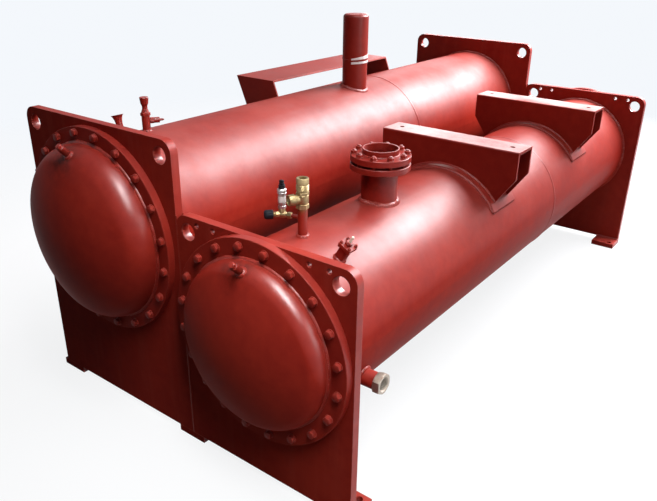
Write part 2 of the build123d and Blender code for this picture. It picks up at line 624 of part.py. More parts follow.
with BuildPart() as foot_front_right:
    with BuildSketch(Plane.XY):
        with Locations((right_foot_x, front_foot_y)):
            Rectangle(foot_width, foot_depth)
        with Locations((right_foot_x + outer_hole_shift, front_foot_y + foot_hole_shift)):
            Circle(foot_hole / 2, mode=Mode.SUBTRACT)
    extrude(amount=foot_thickness)
foot_front_right.part.label = "foot_front_right"
export_step(foot_front_right.part, "parts/foot_front_right.step")

with BuildPart() as foot_rear_left:
    with BuildSketch(Plane.XY):
        with Locations((left_foot_x, rear_foot_y)):
            Rectangle(foot_width, foot_depth)
        with Locations((left_foot_x - outer_hole_shift, rear_foot_y - foot_hole_shift)):
            Circle(foot_hole / 2, mode=Mode.SUBTRACT)
    extrude(amount=foot_thickness)
foot_rear_left.part.label = "foot_rear_left"
export_step(foot_rear_left.part, "parts/foot_rear_left.step")

with BuildPart() as foot_rear_middle:
    with BuildSketch(Plane.XY):
        with Locations((middle_foot_x, rear_foot_y)):
            Rectangle(foot_width, foot_depth)
        with Locations((middle_foot_x, rear_foot_y - foot_hole_shift)):
            Circle(foot_hole / 2, mode=Mode.SUBTRACT)
    extrude(amount=foot_thickness)
foot_rear_middle.part.label = "foot_rear_middle"
export_step(foot_rear_middle.part, "parts/foot_rear_middle.step")

with BuildPart() as foot_rear_right:
    with BuildSketch(Plane.XY):
        with Locations((right_foot_x, rear_foot_y)):
            Rectangle(foot_width, foot_depth)
        with Locations((right_foot_x + outer_hole_shift, rear_foot_y - foot_hole_shift)):
            Circle(foot_hole / 2, mode=Mode.SUBTRACT)
    extrude(amount=foot_thickness)
foot_rear_right.part.label = "foot_rear_right"
export_step(foot_rear_right.part, "parts/foot_rear_right.step")

# Curved pads between the condenser shell and the saddles
saddle_hole_spacing = saddle_length - 2 * saddle_hole_edge
pad_inner_r = condenser_shell_r + fit_gap
pad_outer_r = pad_inner_r + saddle_pad_thickness
pad_sin = math.sin(math.radians(saddle_pad_angle))
pad_cos = math.cos(math.radians(saddle_pad_angle))
with BuildPart() as saddle_pad_front:
    with BuildSketch(Plane(origin=(condenser_x,
                                   front_y + front_saddle_from_face - saddle_pad_width / 2,
                                   condenser_z),
                           x_dir=(1, 0, 0), z_dir=(0, -1, 0))):
        with BuildLine():
            Line((pad_inner_r * pad_sin, pad_inner_r * pad_cos),
                 (pad_outer_r * pad_sin, pad_outer_r * pad_cos))
            ThreePointArc((pad_outer_r * pad_sin, pad_outer_r * pad_cos), (0, pad_outer_r),
                          (-pad_outer_r * pad_sin, pad_outer_r * pad_cos))
            Line((-pad_outer_r * pad_sin, pad_outer_r * pad_cos),
                 (-pad_inner_r * pad_sin, pad_inner_r * pad_cos))
            ThreePointArc((-pad_inner_r * pad_sin, pad_inner_r * pad_cos), (0, pad_inner_r),
                          (pad_inner_r * pad_sin, pad_inner_r * pad_cos))
        make_face()
    extrude(amount=-saddle_pad_width)
saddle_pad_front.part.label = "saddle_pad_front"
export_step(saddle_pad_front.part, "parts/saddle_pad_front.step")

with BuildPart() as saddle_pad_rear:
    with BuildSketch(Plane(origin=(condenser_x,
                                   front_y + rear_saddle_from_face - saddle_pad_width / 2,
                                   condenser_z),
                           x_dir=(1, 0, 0), z_dir=(0, -1, 0))):
        with BuildLine():
            Line((pad_inner_r * pad_sin, pad_inner_r * pad_cos),
                 (pad_outer_r * pad_sin, pad_outer_r * pad_cos))
            ThreePointArc((pad_outer_r * pad_sin, pad_outer_r * pad_cos), (0, pad_outer_r),
                          (-pad_outer_r * pad_sin, pad_outer_r * pad_cos))
            Line((-pad_outer_r * pad_sin, pad_outer_r * pad_cos),
                 (-pad_inner_r * pad_sin, pad_inner_r * pad_cos))
            ThreePointArc((-pad_inner_r * pad_sin, pad_inner_r * pad_cos), (0, pad_inner_r),
                          (pad_inner_r * pad_sin, pad_inner_r * pad_cos))
        make_face()
    extrude(amount=-saddle_pad_width)
saddle_pad_rear.part.label = "saddle_pad_rear"
export_step(saddle_pad_rear.part, "parts/saddle_pad_rear.step")

# Saddles, bent plate channels cut to the curve of the pads
saddle_top_z = condenser_top_z + saddle_rise
saddle_cut_r = pad_outer_r + fit_gap
saddle_tip_x = saddle_cut_r * math.sin(math.radians(52.5))
saddle_tip_z = condenser_z + saddle_cut_r * math.cos(math.radians(52.5))
saddle_outline = [(-saddle_length / 2, saddle_top_z), (saddle_length / 2, saddle_top_z),
                  (saddle_length / 2, saddle_top_z - saddle_web_drop),
                  (saddle_tip_x, saddle_tip_z), (0, condenser_z),
                  (-saddle_tip_x, saddle_tip_z),
                  (-saddle_length / 2, saddle_top_z - saddle_web_drop)]
with BuildPart() as saddle_front:
    with BuildSketch(Plane(origin=(condenser_x,
                                   front_y + front_saddle_from_face - saddle_width / 2, 0),
                           x_dir=(1, 0, 0), z_dir=(0, -1, 0))):
        Polygon(*saddle_outline, align=None)
        with Locations((0, condenser_z)):
            Circle(saddle_cut_r, mode=Mode.SUBTRACT)
    extrude(amount=-saddle_width)
    fillet(edges().filter_by(Axis.X).group_by(Axis.Z)[-1], radius=saddle_plate * 0.5)
    with BuildSketch(Plane(origin=(condenser_x - saddle_length,
                                   front_y + front_saddle_from_face,
                                   saddle_top_z - saddle_plate),
                           x_dir=(0, 1, 0), z_dir=(1, 0, 0))):
        Rectangle(saddle_width - 2 * saddle_plate, saddle_top_z, align=(Align.CENTER, Align.MAX))
    extrude(amount=2 * saddle_length, mode=Mode.SUBTRACT)
    with BuildSketch(Plane.XY.offset(saddle_top_z)):
        with Locations((condenser_x - saddle_hole_spacing / 2, front_y + front_saddle_from_face),
                       (condenser_x + saddle_hole_spacing / 2, front_y + front_saddle_from_face)):
            Circle(saddle_hole / 2)
    extrude(amount=-saddle_plate, mode=Mode.SUBTRACT)
saddle_front.part.label = "saddle_front"
export_step(saddle_front.part, "parts/saddle_front.step")

with BuildPart() as saddle_rear:
    with BuildSketch(Plane(origin=(condenser_x,
                                   front_y + rear_saddle_from_face - saddle_width / 2, 0),
                           x_dir=(1, 0, 0), z_dir=(0, -1, 0))):
        Polygon(*saddle_outline, align=None)
        with Locations((0, condenser_z)):
            Circle(saddle_cut_r, mode=Mode.SUBTRACT)
    extrude(amount=-saddle_width)
    fillet(edges().filter_by(Axis.X).group_by(Axis.Z)[-1], radius=saddle_plate * 0.5)
    with BuildSketch(Plane(origin=(condenser_x - saddle_length,
                                   front_y + rear_saddle_from_face,
                                   saddle_top_z - saddle_plate),
                           x_dir=(0, 1, 0), z_dir=(1, 0, 0))):
        Rectangle(saddle_width - 2 * saddle_plate, saddle_top_z, align=(Align.CENTER, Align.MAX))
    extrude(amount=2 * saddle_length, mode=Mode.SUBTRACT)
    with BuildSketch(Plane.XY.offset(saddle_top_z)):
        with Locations((condenser_x - saddle_hole_spacing / 2, front_y + rear_saddle_from_face),
                       (condenser_x + saddle_hole_spacing / 2, front_y + rear_saddle_from_face)):
            Circle(saddle_hole / 2)
    extrude(amount=-saddle_plate, mode=Mode.SUBTRACT)
saddle_rear.part.label = "saddle_rear"
export_step(saddle_rear.part, "parts/saddle_rear.step")

# Discharge nozzle, pipe with a welded raised face flange
discharge_y = front_y + discharge_from_face
discharge_flange_z = condenser_top_z + discharge_flange_rise
discharge_seal_z = discharge_flange_z + discharge_flange_thickness + discharge_raised_face
with BuildPart() as discharge_nozzle:
    with BuildSketch(Plane.XY.offset(condenser_z + condenser_shell_r - stub_start - 6)):
        with Locations((condenser_x, discharge_y)):
            Circle(discharge_pipe_od / 2)
    extrude(amount=discharge_flange_z - condenser_z - condenser_shell_r + stub_start + 6)
    with BuildSketch(Plane.XY.offset(discharge_flange_z)):
        with Locations((condenser_x, discharge_y)):
            Circle(discharge_flange_od / 2)
    extrude(amount=discharge_flange_thickness)
    chamfer(edges().filter_by(GeomType.CIRCLE).group_by(SortBy.RADIUS)[-1], length=1.5)
    with BuildSketch(Plane.XY.offset(discharge_flange_z + discharge_flange_thickness)):
        with Locations((condenser_x, discharge_y)):
            Circle(discharge_raised_face_od / 2)
    extrude(amount=discharge_raised_face)
    with BuildSketch(Plane.XY.offset(discharge_seal_z)):
        with Locations((condenser_x, discharge_y)):
            Circle(discharge_pipe_bore / 2)
            with PolarLocations(discharge_bolt_circle / 2, discharge_bolt_count):
                Circle(discharge_bolt_hole / 2)
    extrude(amount=-discharge_flange_thickness - discharge_raised_face, mode=Mode.SUBTRACT)
    with BuildSketch(Plane.XY.offset(discharge_flange_z + 1)):
        with Locations((condenser_x, discharge_y)):
            Circle(discharge_pipe_bore / 2)
    extrude(amount=-300, mode=Mode.SUBTRACT)
discharge_nozzle.part.label = "discharge_nozzle"
export_step(discharge_nozzle.part, "parts/discharge_nozzle.step")

with BuildPart() as discharge_gasket:
    with BuildSketch(Plane.XY.offset(discharge_seal_z)):
        with Locations((condenser_x, discharge_y)):
            Circle(discharge_raised_face_od / 2 - 2)
            Circle(discharge_pipe_bore / 2, mode=Mode.SUBTRACT)
    extrude(amount=discharge_gasket_thickness)
discharge_gasket.part.label = "discharge_gasket"
export_step(discharge_gasket.part, "parts/discharge_gasket.step")

# Companion flange with a socket hub
companion_base_z = discharge_seal_z + discharge_gasket_thickness
companion_plate_z = companion_base_z + discharge_raised_face
companion_top_z = companion_plate_z + discharge_flange_thickness
with BuildPart() as discharge_companion_flange:
    with BuildSketch(Plane.XY.offset(companion_plate_z)):
        with Locations((condenser_x, discharge_y)):
            Circle(discharge_flange_od / 2)
    extrude(amount=discharge_flange_thickness)
    chamfer(edges().filter_by(GeomType.CIRCLE).group_by(SortBy.RADIUS)[-1], length=1.5)
    with BuildSketch(Plane.XY.offset(companion_base_z)):
        with Locations((condenser_x, discharge_y)):
            Circle(discharge_raised_face_od / 2)
    extrude(amount=discharge_raised_face)
    with BuildSketch(Plane.XY.offset(companion_top_z)):
        with Locations((condenser_x, discharge_y)):
            Circle(discharge_hub_od / 2)
    extrude(amount=discharge_hub_height)
    with BuildSketch(Plane.XY.offset(companion_base_z)):
        with Locations((condenser_x, discharge_y)):
            Circle(discharge_pipe_bore / 2)
            with PolarLocations(discharge_bolt_circle / 2, discharge_bolt_count):
                Circle(discharge_bolt_hole / 2)
    extrude(amount=discharge_raised_face + discharge_flange_thickness, mode=Mode.SUBTRACT)
    with BuildSketch(Plane.XY.offset(companion_plate_z + 8)):
        with Locations((condenser_x, discharge_y)):
            Circle(discharge_socket / 2)
    extrude(amount=100, mode=Mode.SUBTRACT)
discharge_companion_flange.part.label = "discharge_companion_flange"
export_step(discharge_companion_flange.part, "parts/discharge_companion_flange.step")

# Suction pipe on the evaporator and its closed extension
suction_x = evaporator_x + suction_offset
suction_y = front_y + suction_from_face
suction_joint_z = evaporator_top_z + suction_pipe_rise
suction_top_z = suction_joint_z + suction_cap_length
suction_base_z = evaporator_z + math.sqrt(evaporator_shell_r ** 2 - suction_offset ** 2) - 40
with BuildPart() as suction_pipe:
    with BuildSketch(Plane.XY.offset(suction_base_z)):
        with Locations((suction_x, suction_y)):
            Circle(suction_pipe_od / 2)
            Circle(suction_pipe_od / 2 - suction_pipe_wall, mode=Mode.SUBTRACT)
    extrude(amount=suction_joint_z - suction_base_z)
suction_pipe.part.label = "suction_pipe"
export_step(suction_pipe.part, "parts/suction_pipe.step")

with BuildPart() as suction_cap:
    with BuildSketch(Plane.XY.offset(suction_joint_z)):
        with Locations((suction_x, suction_y)):
            Circle(suction_pipe_od / 2 + 1)
    extrude(amount=suction_top_z - suction_joint_z)
    fillet(edges().filter_by(GeomType.CIRCLE).group_by(Axis.Z)[-1], radius=suction_cap_round)
    with BuildSketch(Plane.XY.offset(suction_joint_z)):
        with Locations((suction_x, suction_y)):
            Circle(suction_pipe_od / 2 - suction_pipe_wall)
    extrude(amount=suction_top_z - suction_joint_z - suction_cap_round - suction_pipe_wall,
            mode=Mode.SUBTRACT)
suction_cap.part.label = "suction_cap"
export_step(suction_cap.part, "parts/suction_cap.step")

# Liquid pipes under both shells
evaporator_bottom_z = evaporator_z - evaporator_shell_r
condenser_bottom_z = condenser_z - condenser_shell_r
liquid_y = front_y + liquid_from_face
with BuildPart() as liquid_inlet_pipe:
    with BuildSketch(Plane.XY.offset(evaporator_bottom_z + stub_start)):
        with Locations((evaporator_x, liquid_y)):
            Circle(liquid_pipe_od / 2)
            Circle(liquid_pipe_od / 2 - liquid_pipe_wall, mode=Mode.SUBTRACT)
    extrude(amount=-(stub_start + liquid_pipe_reach))
    with BuildSketch(Plane.XY.offset(evaporator_bottom_z - liquid_pipe_reach)):
        with Locations((evaporator_x, liquid_y)):
            Circle(liquid_socket / 2)
    extrude(amount=liquid_socket_depth, mode=Mode.SUBTRACT)
liquid_inlet_pipe.part.label = "liquid_inlet_pipe"
export_step(liquid_inlet_pipe.part, "parts/liquid_inlet_pipe.step")

with BuildPart() as liquid_outlet_pipe:
    with BuildSketch(Plane.XY.offset(condenser_bottom_z + stub_start)):
        with Locations((condenser_x, liquid_y)):
            Circle(liquid_pipe_od / 2)
            Circle(liquid_pipe_od / 2 - liquid_pipe_wall, mode=Mode.SUBTRACT)
    extrude(amount=-(stub_start + liquid_pipe_reach))
    with BuildSketch(Plane.XY.offset(condenser_bottom_z - liquid_pipe_reach)):
        with Locations((condenser_x, liquid_y)):
            Circle(liquid_socket / 2)
    extrude(amount=liquid_socket_depth, mode=Mode.SUBTRACT)
liquid_outlet_pipe.part.label = "liquid_outlet_pipe"
export_step(liquid_outlet_pipe.part, "parts/liquid_outlet_pipe.step")

# Control bracket, an open channel with leaning end plates cut to the shell curve
bracket_top_z = evaporator_top_z + bracket_rise
bracket_cut_r = evaporator_shell_r + fit_gap
bracket_foot_right_z = evaporator_z + math.sqrt(bracket_cut_r ** 2 - bracket_foot_right ** 2)
bracket_foot_left_z = evaporator_z + math.sqrt(bracket_cut_r ** 2 - bracket_foot_left ** 2)
with BuildPart() as control_bracket:
    with BuildSketch(Plane(origin=(evaporator_x, front_y + bracket_from_face, 0),
                           x_dir=(1, 0, 0), z_dir=(0, -1, 0))):
        Polygon((bracket_top_left, bracket_top_z), (bracket_top_right, bracket_top_z),
                (bracket_foot_right, bracket_foot_right_z), (0, evaporator_z),
                (bracket_foot_left, bracket_foot_left_z), align=None)
        with Locations((0, evaporator_z)):
            Circle(bracket_cut_r, mode=Mode.SUBTRACT)
    extrude(amount=-bracket_length)
    with BuildSketch(Plane(origin=(evaporator_x,
                                   front_y + bracket_from_face + bracket_length / 2,
                                   bracket_top_z - bracket_plate),
                           x_dir=(1, 0, 0), z_dir=(0, 0, 1))):
        Rectangle(4 * bracket_cut_r, bracket_length - 2 * bracket_plate)
    extrude(amount=-bracket_top_z, mode=Mode.SUBTRACT)
control_bracket.part.label = "control_bracket"
export_step(control_bracket.part, "parts/control_bracket.step")

# Relief valve stub, with a side hole for the branch
relief_y = front_y + relief_from_face
relief_joint_z = condenser_top_z + relief_joint_rise
branch_z = relief_joint_z - branch_drop
relief_base_z = condenser_z + condenser_shell_r - stub_start
branch_cos = math.cos(math.radians(branch_angle))
branch_sin = math.sin(math.radians(branch_angle))
with BuildPart() as relief_stub:
    with BuildSketch(Plane.XY.offset(relief_base_z)):
        with Locations((condenser_x, relief_y)):
            Circle(relief_stub_od / 2)
            Circle(relief_stub_bore / 2, mode=Mode.SUBTRACT)
    extrude(amount=relief_joint_z - relief_base_z)
    with BuildSketch(Plane(origin=(condenser_x, relief_y, branch_z),
                           x_dir=(0, 0, 1), z_dir=(branch_cos, branch_sin, 0))):
        Circle(6.5 + fit_gap)
    extrude(amount=40, mode=Mode.SUBTRACT)
relief_stub.part.label = "relief_stub"
export_step(relief_stub.part, "parts/relief_stub.step")

# Brass relief valve with a side outlet
relief_cos = math.cos(math.radians(relief_outlet_angle))
relief_sin = math.sin(math.radians(relief_outlet_angle))
relief_profile = [(0, 0), (18.5, 0), (18.5, 11), (22.5, 14), (22.5, 19), (21, 21), (21, 47),
                  (22.8, 49), (22.8, 54), (18.5, 57), (18.5, 62), (21.6, 65), (21.6, 103),
                  (19.6, 105), (12, 105), (12, 96), (0, 96)]
with BuildPart() as relief_valve:
    with BuildSketch(Plane(origin=(condenser_x, relief_y, relief_joint_z),
                           x_dir=(1, 0, 0), z_dir=(0, -1, 0))):
        Polygon(*relief_profile, align=None)
    revolve(axis=Axis((condenser_x, relief_y, relief_joint_z), (0, 0, 1)))
    with BuildSketch(Plane(origin=(condenser_x, relief_y, relief_joint_z + 34),
                           x_dir=(0, 0, 1), z_dir=(relief_cos, relief_sin, 0))):
        Circle(14)
    extrude(amount=34)
    with BuildSketch(Plane(origin=(condenser_x + 28 * relief_cos, relief_y + 28 * relief_sin,
                                   relief_joint_z + 34),
                           x_dir=(0, 0, 1), z_dir=(relief_cos, relief_sin, 0))):
        Circle(19.5)
    extrude(amount=24)
    with BuildSketch(Plane(origin=(condenser_x + 52 * relief_cos, relief_y + 52 * relief_sin,
                                   relief_joint_z + 34),
                           x_dir=(0, 0, 1), z_dir=(relief_cos, relief_sin, 0))):
        Circle(14)
    extrude(amount=-20, mode=Mode.SUBTRACT)
relief_valve.part.label = "relief_valve"
export_step(relief_valve.part, "parts/relief_valve.step")

# Brass branch tee for the transducer and the service valve
tee_x = condenser_x + branch_length * branch_cos
tee_y = relief_y + branch_length * branch_sin
service_cos = math.cos(math.radians(service_angle))
service_sin = math.sin(math.radians(service_angle))
with BuildPart() as branch_tee:
    with BuildSketch(Plane(origin=(condenser_x + 14 * branch_cos, relief_y + 14 * branch_sin,
                                   branch_z),
                           x_dir=(0, 0, 1), z_dir=(branch_cos, branch_sin, 0))):
        Circle(6.5)
    extrude(amount=branch_length - 14)
    with BuildSketch(Plane(origin=(tee_x - 32 * branch_cos, tee_y - 32 * branch_sin, branch_z),
                           x_dir=(0, 0, 1), z_dir=(branch_cos, branch_sin, 0))):
        Circle(9.5)
    extrude(amount=32)
    with Locations((tee_x, tee_y, branch_z)):
        Sphere(11)
    with BuildSketch(Plane.XY.offset(branch_z)):
        with Locations((tee_x, tee_y)):
            Circle(9)
    extrude(amount=22)
    with BuildSketch(Plane(origin=(tee_x, tee_y, branch_z),
                           x_dir=(0, 0, 1), z_dir=(service_cos, service_sin, 0))):
        Circle(7)
    extrude(amount=30)
branch_tee.part.label = "branch_tee"
export_step(branch_tee.part, "parts/branch_tee.step")

# Pressure transducer with its connector
transducer_profile = [(0, 0), (11, 0), (11, 8), (13.5, 10), (13.5, 52), (16, 55), (16, 66),
                      (12, 70), (0, 70)]
with BuildPart() as pressure_transducer:
    with BuildSketch(Plane(origin=(tee_x, tee_y, branch_z + 22),
                           x_dir=(1, 0, 0), z_dir=(0, -1, 0))):
        Polygon(*transducer_profile, align=None)
    revolve(axis=Axis((tee_x, tee_y, branch_z), (0, 0, 1)))
pressure_transducer.part.label = "pressure_transducer"
export_step(pressure_transducer.part, "parts/pressure_transducer.step")

with BuildPart() as transducer_connector:
    with BuildSketch(Plane.XY.offset(branch_z + 92)):
        with Locations((tee_x, tee_y)):
            Circle(11.5)
    extrude(amount=12)
    with BuildSketch(Plane.XY.offset(branch_z + 104)):
        with Locations((tee_x, tee_y)):
            RectangleRounded(17, 13, 3)
    extrude(amount=16)
transducer_connector.part.label = "transducer_connector"
export_step(transducer_connector.part, "parts/transducer_connector.step")

with BuildPart() as service_valve_cap:
    with BuildSketch(Plane(origin=(tee_x + 30 * service_cos, tee_y + 30 * service_sin, branch_z),
                           x_dir=(0, 0, 1), z_dir=(service_cos, service_sin, 0))):
        Circle(16)
    extrude(amount=32)
    fillet(edges().filter_by(GeomType.CIRCLE), radius=3)
service_valve_cap.part.label = "service_valve_cap"
export_step(service_valve_cap.part, "parts/service_valve_cap.step")

# Purge valve with a square flange, standing radially on the condenser
purge_y = front_y + purge_from_face
with BuildPart() as purge_valve:
    with BuildSketch(Plane(origin=(condenser_x + purge_direction[0] * (condenser_shell_r - stub_start),
                                   purge_y,
                                   condenser_z
                                   + purge_direction[2] * (condenser_shell_r - stub_start)),
                           x_dir=(0, 1, 0), z_dir=purge_direction)):
        Circle(16)
    extrude(amount=stub_start + 12)
    with BuildSketch(Plane(origin=(condenser_x + purge_direction[0] * (condenser_shell_r + 10),
                                   purge_y,
                                   condenser_z + purge_direction[2] * (condenser_shell_r + 10)),
                           x_dir=(0, 1, 0), z_dir=purge_direction)):
        RectangleRounded(34, 34, 5)
    extrude(amount=46)
    with BuildSketch(Plane(origin=(condenser_x + purge_direction[0] * (condenser_shell_r + 56),
                                   purge_y,
                                   condenser_z + purge_direction[2] * (condenser_shell_r + 56)),
                           x_dir=(0, 1, 0), z_dir=purge_direction)):
        RectangleRounded(50, 50, 5)
    extrude(amount=11)
    with BuildSketch(Plane(origin=(condenser_x + purge_direction[0] * (condenser_shell_r + 67),
                                   purge_y,
                                   condenser_z + purge_direction[2] * (condenser_shell_r + 67)),
                           x_dir=(0, 1, 0), z_dir=purge_direction)):
        Circle(11)
    extrude(amount=12)
purge_valve.part.label = "purge_valve"
export_step(purge_valve.part, "parts/purge_valve.step")

with BuildPart() as purge_valve_stem:
    with BuildSketch(Plane(origin=(condenser_x + purge_direction[0] * (condenser_shell_r + 79),
                                   purge_y,
                                   condenser_z + purge_direction[2] * (condenser_shell_r + 79)),
                           x_dir=(0, 1, 0), z_dir=purge_direction)):
        Circle(4.5)
    extrude(amount=24)
    fillet(edges().filter_by(GeomType.CIRCLE).sort_by(Axis.Z)[-1], radius=2.5)
purge_valve_stem.part.label = "purge_valve_stem"
export_step(purge_valve_stem.part, "parts/purge_valve_stem.step")

# Drain stub low on the condenser and its steel threaded ring
drain_y = front_y + drain_from_face
drain_z = condenser_z - drain_drop
drain_root_x = math.sqrt((condenser_shell_r - shell_wall) ** 2 - drain_drop ** 2) - 12
with BuildPart() as drain_stub:
    with BuildSketch(Plane(origin=(condenser_x + drain_root_x, drain_y, drain_z),
                           x_dir=(0, 1, 0), z_dir=(1, 0, 0))):
        Circle(drain_stub_od / 2)
        Circle(drain_stub_od / 2 - 4, mode=Mode.SUBTRACT)
    extrude(amount=drain_ring_start - drain_root_x)
drain_stub.part.label = "drain_stub"
export_step(drain_stub.part, "parts/drain_stub.step")

with BuildPart() as drain_ring:
    with BuildSketch(Plane(origin=(condenser_x + drain_ring_start, drain_y, drain_z),
                           x_dir=(0, 1, 0), z_dir=(1, 0, 0))):
        RegularPolygon(39, 6)
        Circle(24, mode=Mode.SUBTRACT)
    extrude(amount=drain_ring_length)
drain_ring.part.label = "drain_ring"
export_step(drain_ring.part, "parts/drain_ring.step")

# Charging valve on the evaporator, an angle valve with a side port
charging_x = evaporator_x + charging_offset
charging_y = front_y + charging_from_face
charging_base_z = evaporator_z + evaporator_shell_r - stub_start
charging_cos = math.cos(math.radians(charging_port_angle))
charging_sin = math.sin(math.radians(charging_port_angle))
charging_profile = [(0, 0), (12.5, 0), (12.5, 21), (16, 21), (16, 86), (10.5, 102), (10.5, 112),
                    (15, 122), (17.5, 144), (16, 146), (0, 146)]
with BuildPart() as charging_valve:
    with BuildSketch(Plane(origin=(charging_x, charging_y, charging_base_z),
                           x_dir=(1, 0, 0), z_dir=(0, -1, 0))):
        Polygon(*charging_profile, align=None)
    revolve(axis=Axis((charging_x, charging_y, charging_base_z), (0, 0, 1)))
    with BuildSketch(Plane(origin=(charging_x, charging_y, charging_base_z + 54),
                           x_dir=(0, 0, 1), z_dir=(charging_cos, charging_sin, 0))):
        Circle(7)
    extrude(amount=36)
    with BuildSketch(Plane(origin=(charging_x + 30 * charging_cos, charging_y + 30 * charging_sin,
                                   charging_base_z + 54),
                           x_dir=(0, 0, 1), z_dir=(charging_cos, charging_sin, 0))):
        Circle(11)
    extrude(amount=22)
charging_valve.part.label = "charging_valve"
export_step(charging_valve.part, "parts/charging_valve.step")

# Flared cup fitting on the evaporator
flare_y = front_y + flare_from_face
with BuildPart() as flare_fitting:
    with BuildSketch(Plane(origin=(evaporator_x, flare_y, evaporator_z),
                           x_dir=(flare_direction[2], 0, -flare_direction[0]),
                           z_dir=(0, -1, 0))):
        with BuildLine():
            Line((0, evaporator_shell_r - stub_start), (13, evaporator_shell_r - stub_start))
            Line((13, evaporator_shell_r - stub_start), (13, evaporator_shell_r + 38))
            Spline((13, evaporator_shell_r + 38), (16, evaporator_shell_r + 60),
                   (25, evaporator_shell_r + 76), tangents=((0, 1), (1, 0.8)))
            Line((25, evaporator_shell_r + 76), (21, evaporator_shell_r + 76))
            Line((21, evaporator_shell_r + 76), (8, evaporator_shell_r + 56))
            Line((8, evaporator_shell_r + 56), (0, evaporator_shell_r + 56))
            Line((0, evaporator_shell_r + 56), (0, evaporator_shell_r - stub_start))
        make_face()
    revolve(axis=Axis((evaporator_x, flare_y, evaporator_z), flare_direction))
flare_fitting.part.label = "flare_fitting"
export_step(flare_fitting.part, "parts/flare_fitting.step")
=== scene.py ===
import json
import math
import random

import bmesh
import bpy
from mathutils import Matrix, Vector


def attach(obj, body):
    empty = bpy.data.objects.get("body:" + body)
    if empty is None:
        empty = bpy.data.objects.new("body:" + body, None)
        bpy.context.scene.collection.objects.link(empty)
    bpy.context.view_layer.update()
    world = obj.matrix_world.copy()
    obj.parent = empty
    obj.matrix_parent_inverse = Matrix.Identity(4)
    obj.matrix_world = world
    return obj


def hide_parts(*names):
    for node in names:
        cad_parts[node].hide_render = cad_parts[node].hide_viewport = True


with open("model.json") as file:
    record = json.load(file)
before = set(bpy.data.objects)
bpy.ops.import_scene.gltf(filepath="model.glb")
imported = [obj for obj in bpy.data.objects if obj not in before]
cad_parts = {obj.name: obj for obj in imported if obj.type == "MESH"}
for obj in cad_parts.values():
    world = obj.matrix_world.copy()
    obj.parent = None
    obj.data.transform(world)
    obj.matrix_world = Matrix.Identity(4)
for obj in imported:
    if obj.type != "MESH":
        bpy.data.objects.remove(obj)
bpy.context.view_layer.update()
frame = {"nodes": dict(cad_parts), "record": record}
nodes = frame["nodes"]
random.seed(41)

X_AXIS = Vector((1, 0, 0))
Y_AXIS = Vector((0, 1, 0))
Z_AXIS = Vector((0, 0, 1))
FULL_TURN = 2 * math.pi

# ---------------------------------------------------------------- places that the solids fix, in metres
FRONT_Y = -1.583                      # outer faces of the front and rear tube sheets
REAR_Y = 1.479
SHEET = 0.032
SHEETS_LEFT, SHEETS_RIGHT = -0.7875, 0.8075
JUNCTION_X = 0.0525                   # where the two front sheets, and the two rear ones, meet
FOOT_TOP = 0.028
EVAPORATOR = Vector((-0.3675, 0.0, 0.786))
CONDENSER = Vector((0.430, 0.0, 0.5925))
EVAPORATOR_R = 0.326
CONDENSER_R = 0.3045
EVAPORATOR_TOP = EVAPORATOR.z + EVAPORATOR_R
CONDENSER_TOP = CONDENSER.z + CONDENSER_R


def leaning(degrees):
    """Unit vector tilted from vertical towards +X."""
    return Vector((math.sin(math.radians(degrees)), 0, math.cos(math.radians(degrees))))


def level(degrees):
    """Unit vector in the floor's plane, turned from +X."""
    return Vector((math.cos(math.radians(degrees)), math.sin(math.radians(degrees)), 0))


DISCHARGE = Vector((CONDENSER.x, FRONT_Y + 0.684, 0))
NOZZLE_R = 0.06985
FLANGE_UNDERSIDE, FLANGE_TOP = 1.020, 1.076
STUD_CIRCLE_R = 0.100
SUCTION = Vector((EVAPORATOR.x + 0.062, FRONT_Y + 1.556, 0))
SUCTION_R = 0.0635
SUCTION_CAP_Z = 1.246
RELIEF = Vector((CONDENSER.x, FRONT_Y + 0.219, 0))
RELIEF_STUB_R = 0.0167
RELIEF_JOINT = RELIEF + Z_AXIS * 0.996
RELIEF_OUTLET = level(245)
BRANCH_ROOT = RELIEF + Z_AXIS * 0.963
BRANCH = level(195)
BRANCH_R = 0.0063
TEE = BRANCH_ROOT + BRANCH * 0.075
SERVICE = level(225)
SENSOR = TEE + Z_AXIS * 0.022
SENSOR_PLUG = TEE + Z_AXIS * 0.092
PURGE_AXIS = leaning(30)
PURGE_FOOT = Vector((CONDENSER.x, FRONT_Y + 0.223, CONDENSER.z)) + PURGE_AXIS * CONDENSER_R
FLARE_AXIS = leaning(-15)
FLARE_FOOT = Vector((EVAPORATOR.x, FRONT_Y + 0.190, EVAPORATOR.z)) + FLARE_AXIS * EVAPORATOR_R
CHARGING = Vector((EVAPORATOR.x - 0.020, FRONT_Y + 0.260, 0))
CHARGING_JOINT = CHARGING + Z_AXIS * 1.098
CHARGING_PORT = level(60)
DRAIN = Vector((CONDENSER.x + 0.281, FRONT_Y + 0.186, CONDENSER.z - 0.1175))
DRAIN_END = Vector((CONDENSER.x + 0.342, DRAIN.y, DRAIN.z))
LIQUID_Y = FRONT_Y + 1.531
LIQUID_R = 0.03805
LIFTING_HOLES = ((-0.730, 1.1435), (-0.005, 1.1435), (0.110, 0.8975), (0.750, 0.8975))
FOOT_CENTRES = (-0.740, 0.0405, 0.740)
FOOT_HALF = 0.0675

# ---------------------------------------------------------------- camera
CAMERA_PLACE = (1.7669, -3.0085, 1.8038)
CAMERA_TURN = (-36.75, 24.39, 0.76)   # yaw, pitch and roll in degrees
FOCAL_LENGTH = 37.59
SENSOR_WIDTH = 36
FAR_CLIP = 60


